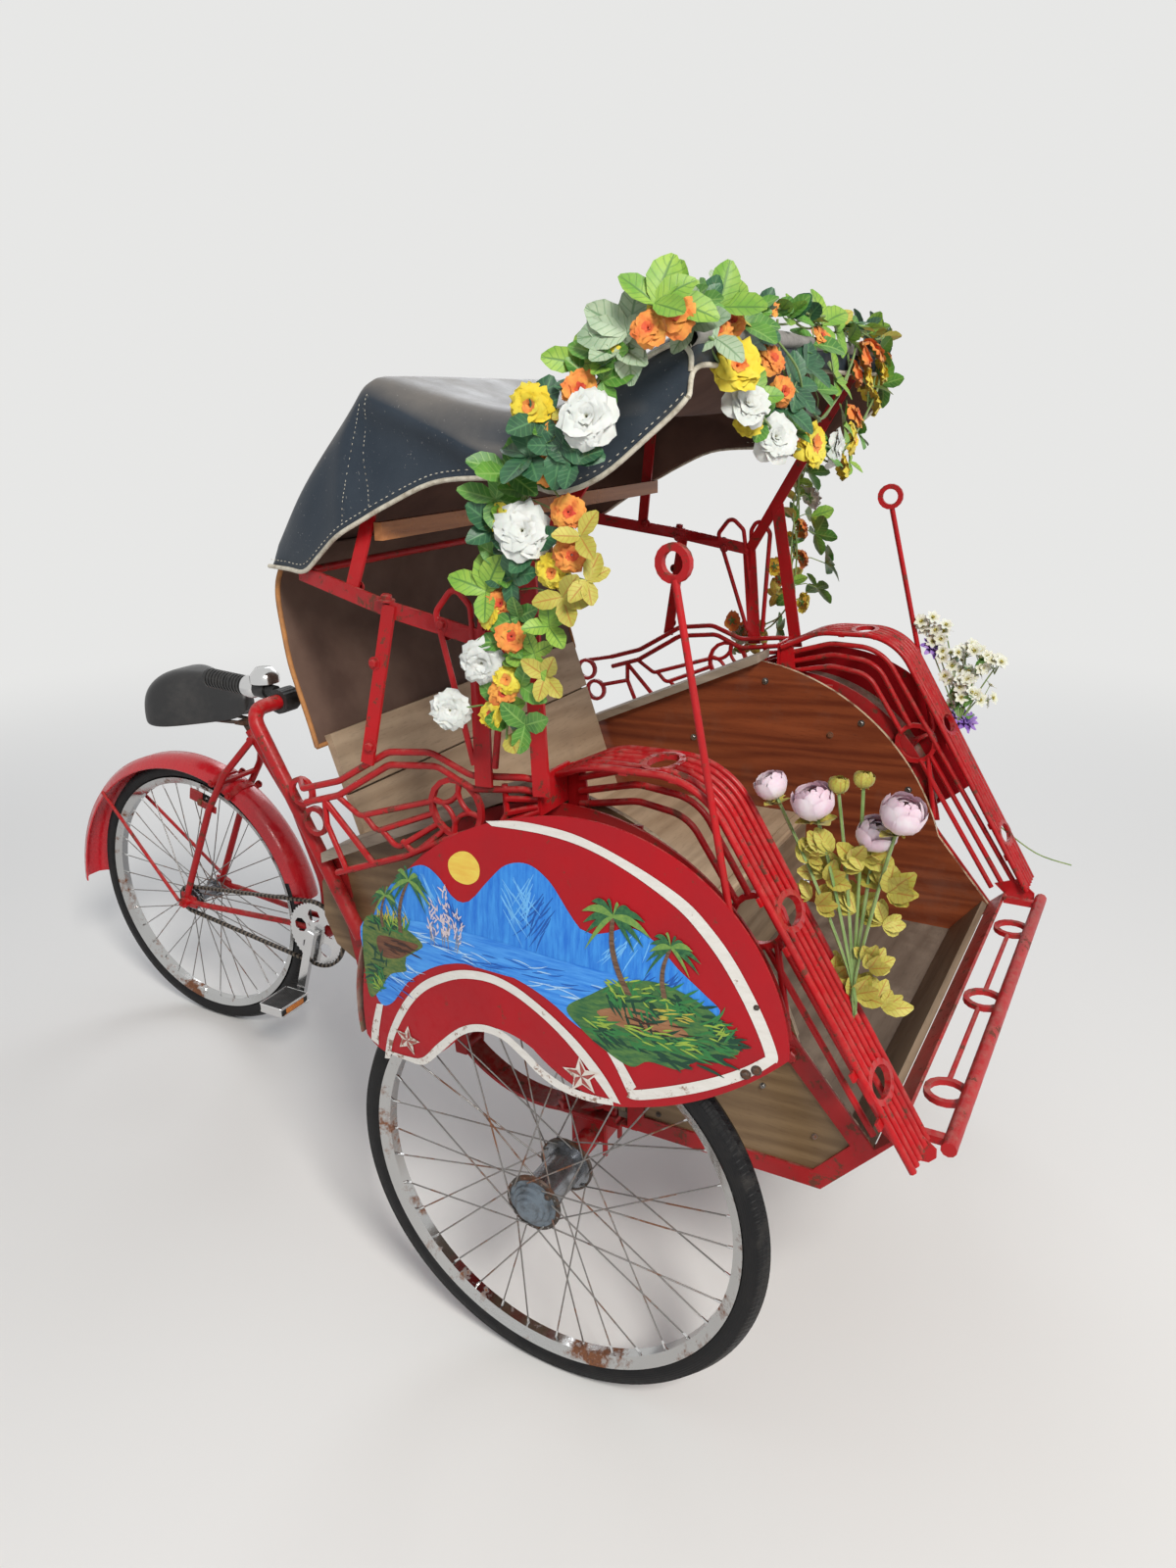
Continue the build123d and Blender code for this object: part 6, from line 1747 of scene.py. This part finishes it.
def stem(bm, line, radius, finish):
    """A thin round stalk through points."""
    rows = []
    for i, p in enumerate(line):
        ahead = (line[min(i + 1, len(line) - 1)] - line[max(i - 1, 0)]).normalized()
        ring = facing(p, ahead)
        rows.append([ring @ Vector((radius * cos(a), radius * sin(a), 0))
                     for a in (2 * pi * k / 5 for k in range(6))])
    add_grid(bm, rows, finish)


def flower_piece(name, bm, replaces):
    """A piece of flowers that rides on the cabin."""
    piece = finished_piece(name, mesh_of(name, bm), "cabin", FLOWER_FINISHES, replaces=replaces)
    print(name, len(piece.data.polygons), "faces")


# %% [markdown]
# The garland runs up both front posts of the hood and over its front bow, and below the bow it hangs down
# in loops. The blossoms and the larger sprays of leaves that the photograph shows stand where they are
# there, as two tables of places. A seeded draw adds single leaves along the vine, so that nothing is
# bare from behind.

# %% Garland
GARLAND_LINE = metres(((-572, 30, 1070), (-570, 28, 1200), (-566, 20, 1340), (-552, -40, 1455),
                       (-520, -120, 1555), (-455, -160, 1600), (-300, -166, 1607), (-100, -168, 1609),
                       (100, -168, 1609), (300, -166, 1607), (455, -160, 1600), (520, -120, 1555),
                       (552, -40, 1455), (566, 20, 1340), (570, 28, 1200), (572, 30, 1070)))
# Loops that hang below the bow
HANGING = metres((((-440, -165, 1600), (-350, -190, 1530), (-250, -192, 1455), (-120, -190, 1440),
                   (0, -190, 1420), (120, -190, 1410), (240, -190, 1450), (350, -186, 1520),
                   (440, -165, 1598)),
                  ((-160, -172, 1600), (-130, -190, 1530), (-60, -192, 1470), (60, -190, 1480),
                   (150, -190, 1540), (230, -172, 1602))))
# Finish, place, size
BLOSSOMS = (
    (WHITE, -575, -98, 1480, 43), (YELLOW, -575, -22, 1495, 32), (ORANGE, -560, -80, 1510, 28),
    (ORANGE, -575, -45, 1420, 25), (WHITE, -585, -10, 1348, 44), (ORANGE, -575, -70, 1372, 27),
    (ORANGE, -580, -76, 1322, 28), (YELLOW, -580, -48, 1300, 28), (WHITE, -590, 56, 1180, 38),
    (ORANGE, -585, 12, 1215, 27), (YELLOW, -585, 22, 1158, 26), (WHITE, -590, 112, 1108, 34),
    (ORANGE, -585, 30, 1140, 24), (ORANGE, -580, 30, 1255, 24), (ORANGE, -550, -165, 1573, 26),
    (ORANGE, -506, -178, 1590, 32), (ORANGE, -388, -182, 1577, 24), (ORANGE, -352, -184, 1590, 26),
    (YELLOW, -358, -196, 1535, 43), (WHITE, -329, -200, 1490, 40), (ORANGE, -214, -190, 1548, 28),
    (YELLOW, -300, -190, 1466, 26), (WHITE, -213, -198, 1446, 43), (YELLOW, -46, -198, 1430, 44),
    (WHITE, 88, -194, 1418, 38), (ORANGE, -161, -190, 1506, 27), (ORANGE, -81, -188, 1456, 24),
    (ORANGE, 319, -188, 1575, 32), (YELLOW, 263, -190, 1531, 32), (ORANGE, 192, -190, 1536, 30),
    (YELLOW, 310, -190, 1494, 34), (ORANGE, 216, -190, 1467, 28), (YELLOW, 187, -192, 1431, 34),
    (YELLOW, 149, -190, 1389, 30), (ORANGE, 430, -180, 1560, 30), (YELLOW, 370, -186, 1540, 30),
    (ORANGE, 243, -188, 1566, 32), (ORANGE, 20, -186, 1585, 24), (WHITE, 578, 0, 1300, 36),
    (ORANGE, 578, 10, 1171, 28), (ORANGE, 578, 13, 1236, 28), (ORANGE, 580, 60, 1126, 26),
    (YELLOW, 580, 72, 1151, 26), (YELLOW, 580, 6, 1076, 28), (ORANGE, 570, 165, 1026, 28),
    (ORANGE, 572, 140, 1008, 26), (WHITE, 576, 150, 992, 30), (YELLOW, 565, -50, 1440, 28),
    (WHITE, 545, -110, 1520, 34), (ORANGE, 575, 0, 1385, 26),
)
# Finish, place, number of leaves, length
SPRAYS = (
    (GREEN, -580, 0, 1098, 3, 44), (GREEN, -580, 4, 1150, 3, 40), (GREEN, -580, 19, 1207, 4, 40),
    (LIGHT, -582, 50, 1271, 5, 50), (DARK, -580, -23, 1327, 4, 46), (DARK, -580, 29, 1349, 4, 46),
    (DARK, -580, -21, 1437, 5, 52), (DARK, -580, -65, 1448, 5, 50), (GREEN, -580, 10, 1416, 5, 50),
    (DARK, -580, -80, 1430, 4, 44), (GOLD, -582, -98, 1292, 5, 38), (GOLD, -582, -63, 1270, 5, 40),
    (GOLD, -580, -89, 1344, 4, 40), (LIGHT, -580, -41, 1231, 4, 40), (GREEN, -580, 31, 1385, 4, 48),
    (DARK, -580, 12, 1289, 4, 44), (GOLD, -580, -33, 1167, 4, 34), (LIGHT, -580, -18, 1195, 4, 36),
    (DARK, -575, -30, 1478, 4, 48), (GREEN, -580, 4, 1240, 4, 40), (GREEN, -575, 40, 1125, 3, 34),
    (LIGHT, -540, -71, 1539, 4, 52), (GREEN, -540, -97, 1548, 4, 46), (PALE, -535, -133, 1572, 5, 56),
    (PALE, -535, -118, 1558, 4, 48), (GREEN, -545, -104, 1520, 4, 44), (LIGHT, -544, -170, 1600, 5, 54),
    (LIGHT, -500, -168, 1606, 3, 56), (PALE, -468, -182, 1580, 4, 48), (LIGHT, -372, -176, 1606, 4, 56),
    (PALE, -345, -175, 1612, 3, 58), (GREEN, -284, -178, 1588, 5, 50), (PALE, -403, -186, 1568, 4, 46),
    (DARK, -239, -184, 1570, 4, 48), (LIGHT, 54, -176, 1606, 4, 50), (LIGHT, 119, -178, 1598, 4, 50),
    (LIGHT, 187, -180, 1588, 3, 44), (GREEN, -2, -182, 1575, 4, 50), (DARK, -49, -188, 1541, 5, 56),
    (GREEN, -11, -190, 1510, 5, 50), (DARK, -112, -190, 1513, 5, 50), (LIGHT, 86, -190, 1525, 5, 46),
    (LIGHT, -279, -192, 1500, 4, 52), (GREEN, -246, -192, 1470, 4, 44), (DARK, -152, -192, 1482, 5, 46),
    (DARK, -52, -192, 1475, 5, 48), (GREEN, -126, -192, 1452, 5, 42), (LIGHT, 138, -192, 1455, 5, 44),
    (GREEN, 236, -190, 1440, 5, 42), (LIGHT, 292, -190, 1515, 5, 44), (GREEN, 58, -190, 1409, 4, 40),
    (LIGHT, 198, -190, 1392, 4, 34), (GREEN, 370, -186, 1575, 4, 44), (GREEN, 400, -186, 1520, 4, 44),
    (GREEN, 484, -160, 1590, 4, 48), (LIGHT, 530, -110, 1545, 4, 46), (GREEN, 560, -60, 1480, 4, 46),
    (GREEN, 575, 0, 1350, 4, 46), (GREEN, 582, -17, 1224, 5, 50), (GREEN, 582, -42, 1163, 5, 48),
    (LIGHT, 582, -6, 1260, 5, 50), (GREEN, 582, -25, 1110, 4, 44), (GOLD, 580, 66, 1090, 5, 36),
    (GOLD, 576, 101, 1012, 5, 38), (GOLD, 574, 125, 975, 4, 36), (LIGHT, 572, 160, 960, 3, 36),
    (GREEN, 576, 60, 1015, 4, 36),
)
draw = random.Random(21)
vine = smooth_line([at(*p) for p in GARLAND_LINE], 10)
loops = [smooth_line([at(*p) for p in loop], 8) for loop in HANGING]
tail_of_vine = smooth_line([at(0.572, 0.030, 1.080), at(0.574, 0.070, 1.030), at(0.572, 0.140, 0.990)], 6)
garland_bm = bmesh.new()
heart_of = {WHITE: None, YELLOW: ORANGE, ORANGE: RED}
for line, strands in ((vine, 3), (loops[0], 2), (loops[1], 2), (tail_of_vine, 2)):
    for s in range(strands):
        phase = 2.1 * s
        strand = []
        for i, p in enumerate(line):
            a = phase + i * 0.33
            strand.append(p + Vector((0.010 * cos(a), 0.006 * sin(a) - 0.003, 0.010 * cos(a + 1.2))))
        stem(garland_bm, strand, 0.0019, STEM)
every_vine = vine + loops[0] + loops[1] + tail_of_vine


def outward(place):
    """Away from the cabin's middle, for the side that a blossom looks to."""
    p = place - at(0, 0.25, 1.30)
    return Vector((p.x * 1.1, p.y * 0.8, p.z * 0.5)).normalized()


def tied_on(bm, place, radius):
    """A short bent stalk from the nearest vine."""
    nearest = min(every_vine, key=lambda p: (p - place).length)
    if (nearest - place).length > 0.003:
        stem(bm, [nearest, nearest.lerp(place, 0.5) + Vector((0.002, -0.003, 0.007)), place], radius, STEM)


for finish, *sizes in BLOSSOMS:
    x, y, z, size = metres(sizes)
    place = at(x, y, z)
    look = outward(place) + scatter(draw, (-0.5, 0.1), (-0.45, 0.1), (-0.2, 0.5))
    blossom_places.append((place + 0.45 * size * look.normalized(), 0.62 * size))
    rose(garland_bm, place, look, size, finish, draw, draw.uniform(0.75, 1.05), heart_of[finish])
    tied_on(garland_bm, place, 0.0014)
for finish, *sizes, count, length in SPRAYS:
    x, y, z, length = metres((*sizes, length))
    place = at(x, y, z)
    look = outward(place) + scatter(draw, (-0.5, 0.2), (-0.3, 0.3), (-0.1, 0.6))
    leaf_spray(garland_bm, place, look, count, length, finish, draw)
    tied_on(garland_bm, place, 0.0012)
for i in range(len(vine) - 1):
    for chance in (0.75, 0.45):
        if draw.random() > chance:
            continue
        p = vine[i].lerp(vine[i + 1], draw.random())
        way = scatter(draw, (-1, 1), (-1, 1), (-0.5, 1)).normalized() + 0.8 * outward(p)
        leaf(garland_bm, p, way, outward(p) + Vector((0, 0, 0.5)), draw.uniform(0.030, 0.044),
             draw.choice((GREEN, LIGHT, DARK, GREEN, GOLD)), draw)
    if i % 9 == 4:
        p = vine[i] + outward(vine[i]) * 0.020 + Vector((0, 0.02, 0))
        rose(garland_bm, p, outward(p) + Vector((0, 0.5, 0.3)), draw.uniform(0.018, 0.024),
             draw.choice((YELLOW, ORANGE)), draw, 0.9, RED)
blossom_places.clear()
flower_piece("garland_flowers", garland_bm, replaces=("garland",))

# %% [markdown]
# On the right rail stands a bunch of pale pink blossoms on long stalks, with two closed buds and
# yellow-green leaves. The stalks run together where they are tied to the rail.

# %% Pink bunch on the right rail
PINK_HEADS = metres(((-302, 1003, 22, -448), (-359, 986, 28, -452), (-432, 952, 26, -440),
                     (-464, 990, 28, -458)))
BUDS = metres(((-383, 1026, -446), (-413, 1035, -438)))
# Joint (y, z) and length of the leaves in each sprig
SPRIGS = metres(((-379, 943, 38), (-379, 901, 40), (-451, 895, 52), (-412, 859, 40), (-364, 865, 34),
                 (-416, 930, 40), (-350, 930, 32), (-428, 744, 40), (-458, 735, 40), (-400, 760, 36),
                 (-440, 790, 36), (-446, 850, 34)))
draw = random.Random(8)
pink_bm = bmesh.new()
foot = at(-0.4655, -0.430, 0.690)
knot = at(-0.4655, -0.424, 0.760)
for y, z, size, x in PINK_HEADS:
    top = at(x, y, z)
    line = smooth_line([foot + Vector((draw.uniform(-0.004, 0.004), draw.uniform(-0.004, 0.004), 0)), knot,
                        knot.lerp(top, 0.55) + Vector((0, 0, 0.012)), top], 5)
    stem(pink_bm, line, 0.0026, STEM)
    globe_bloom(pink_bm, top, (line[-1] - line[-3]) + Vector((-0.010, -0.004, 0.004)), size, PINK, draw)
    for k in range(5):
        a = 2 * pi * k / 5 + draw.uniform(-0.3, 0.3)
        leaf(pink_bm, top - Vector((0, 0, 0.012)), Vector((cos(a), sin(a), 0.5)), (0, 0, 1), size * 1.0, GOLD,
             draw, 0.40)
for y, z, x in BUDS:
    top = at(x, y, z)
    line = smooth_line([foot, knot, knot.lerp(top, 0.5) + Vector((0.003, 0, 0.01)), top], 5)
    stem(pink_bm, line, 0.0024, STEM)
    globe_bloom(pink_bm, top - Vector((0, 0, 0.006)), (0, 0, 1), 0.0135, GOLD, draw)
for y, z, size in SPRIGS:
    centre = at(-0.452, y, z)
    for k in range(3):
        a = draw.uniform(0, FULL_TURN)
        joint = centre + scatter(draw, (-0.008, 0.008), (-0.01, 0.01), (-0.008, 0.008))
        way = Vector((0.5 * cos(a), sin(a), draw.uniform(0.0, 0.9)))
        for lobe in (-0.6, 0.0, 0.6):
            leaf(pink_bm, joint, way + Vector((0, lobe * way.z, -lobe * way.y)), (-0.8, -0.4, 0.4),
                 size * draw.uniform(0.7, 1.0), GOLD, draw, 0.30)
flower_piece("pink_bunch", pink_bm, replaces=("posy_right",))

# %% [markdown]
# The bunch on the left rail is a dense spray of cream flowers with three violet ones. One loose stalk has
# slipped down from it.

# %% Cream spray on the left rail
CREAM_HEADS = metres(((-271, 1053), (-301, 1018), (-352, 1002), (-382, 990), (-412, 973), (-337, 949),
                      (-368, 932), (-390, 909), (-352, 905), (-328, 985), (-309, 1040), (-365, 965)))
VIOLET_HEADS = metres(((-283, 1002), (-345, 862), (-365, 852)))
draw = random.Random(14)
spray_bm = bmesh.new()
foot = at(0.5445, -0.356, 0.852)
for y, z in CREAM_HEADS:
    centre = at(0.562, y, z)
    stem(spray_bm, smooth_line([foot, foot.lerp(centre, 0.5) + Vector((0.006, 0, 0.006)), centre], 4),
         0.0016, STEM)
    for k in range(6):
        offset = scatter(draw, (-0.024, 0.024), (-0.022, 0.022), (-0.018, 0.020))
        stem(spray_bm, [centre - Vector((0, 0, 0.014)), centre + offset], 0.0009, STEM)
        head = facing(centre + offset, offset + Vector((-0.015, -0.012, 0.015)), draw.uniform(0, 6))
        for m in range(6):
            petal(spray_bm, head @ spun(pi * m / 3), 0.0145, 0.40, 1.0, 0.25, CREAM, 0.03, 3)
        for m in range(3):
            petal(spray_bm, head @ spun(2 * pi * m / 3), 0.006, 0.5, 0.3, 0.2, GOLD, 0.0, 3)
loose_end = [at(0.552, -0.452, 0.640), at(0.578, -0.530, 0.580), at(0.602, -0.600, 0.556)]
stem(spray_bm, smooth_line([at(0.548, -0.420, 0.662)] + loose_end, 5), 0.0016, STEM)
for y, z in VIOLET_HEADS:
    centre = at(0.560, y, z)
    stem(spray_bm, [foot, centre], 0.0016, STEM)
    head = facing(centre, (-0.4, -0.5, 0.6))
    for ring in range(3):
        for m in range(7):
            spin = spun(2 * pi * (m + 0.5 * ring) / 7)
            petal(spray_bm, head @ spin, 0.024, 0.26, 0.35 + 0.4 * ring, 0.4, VIOLET, 0.06, 3)
for k in range(16):
    p = foot + scatter(draw, (0, 0.014), (-0.03, 0.03), (0.01, 0.12))
    way = scatter(draw, (-0.2, 1), (-1, 0.6), (0, 1))
    leaf(spray_bm, p, way, (0.5, 0, 1), 0.032, GREEN, draw)
flower_piece("cream_spray", spray_bm, replaces=("posy_left",))

# %% Size of the finished scene
low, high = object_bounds()
print("visual box", [round(v, 3) for v in low], [round(v, 3) for v in high])
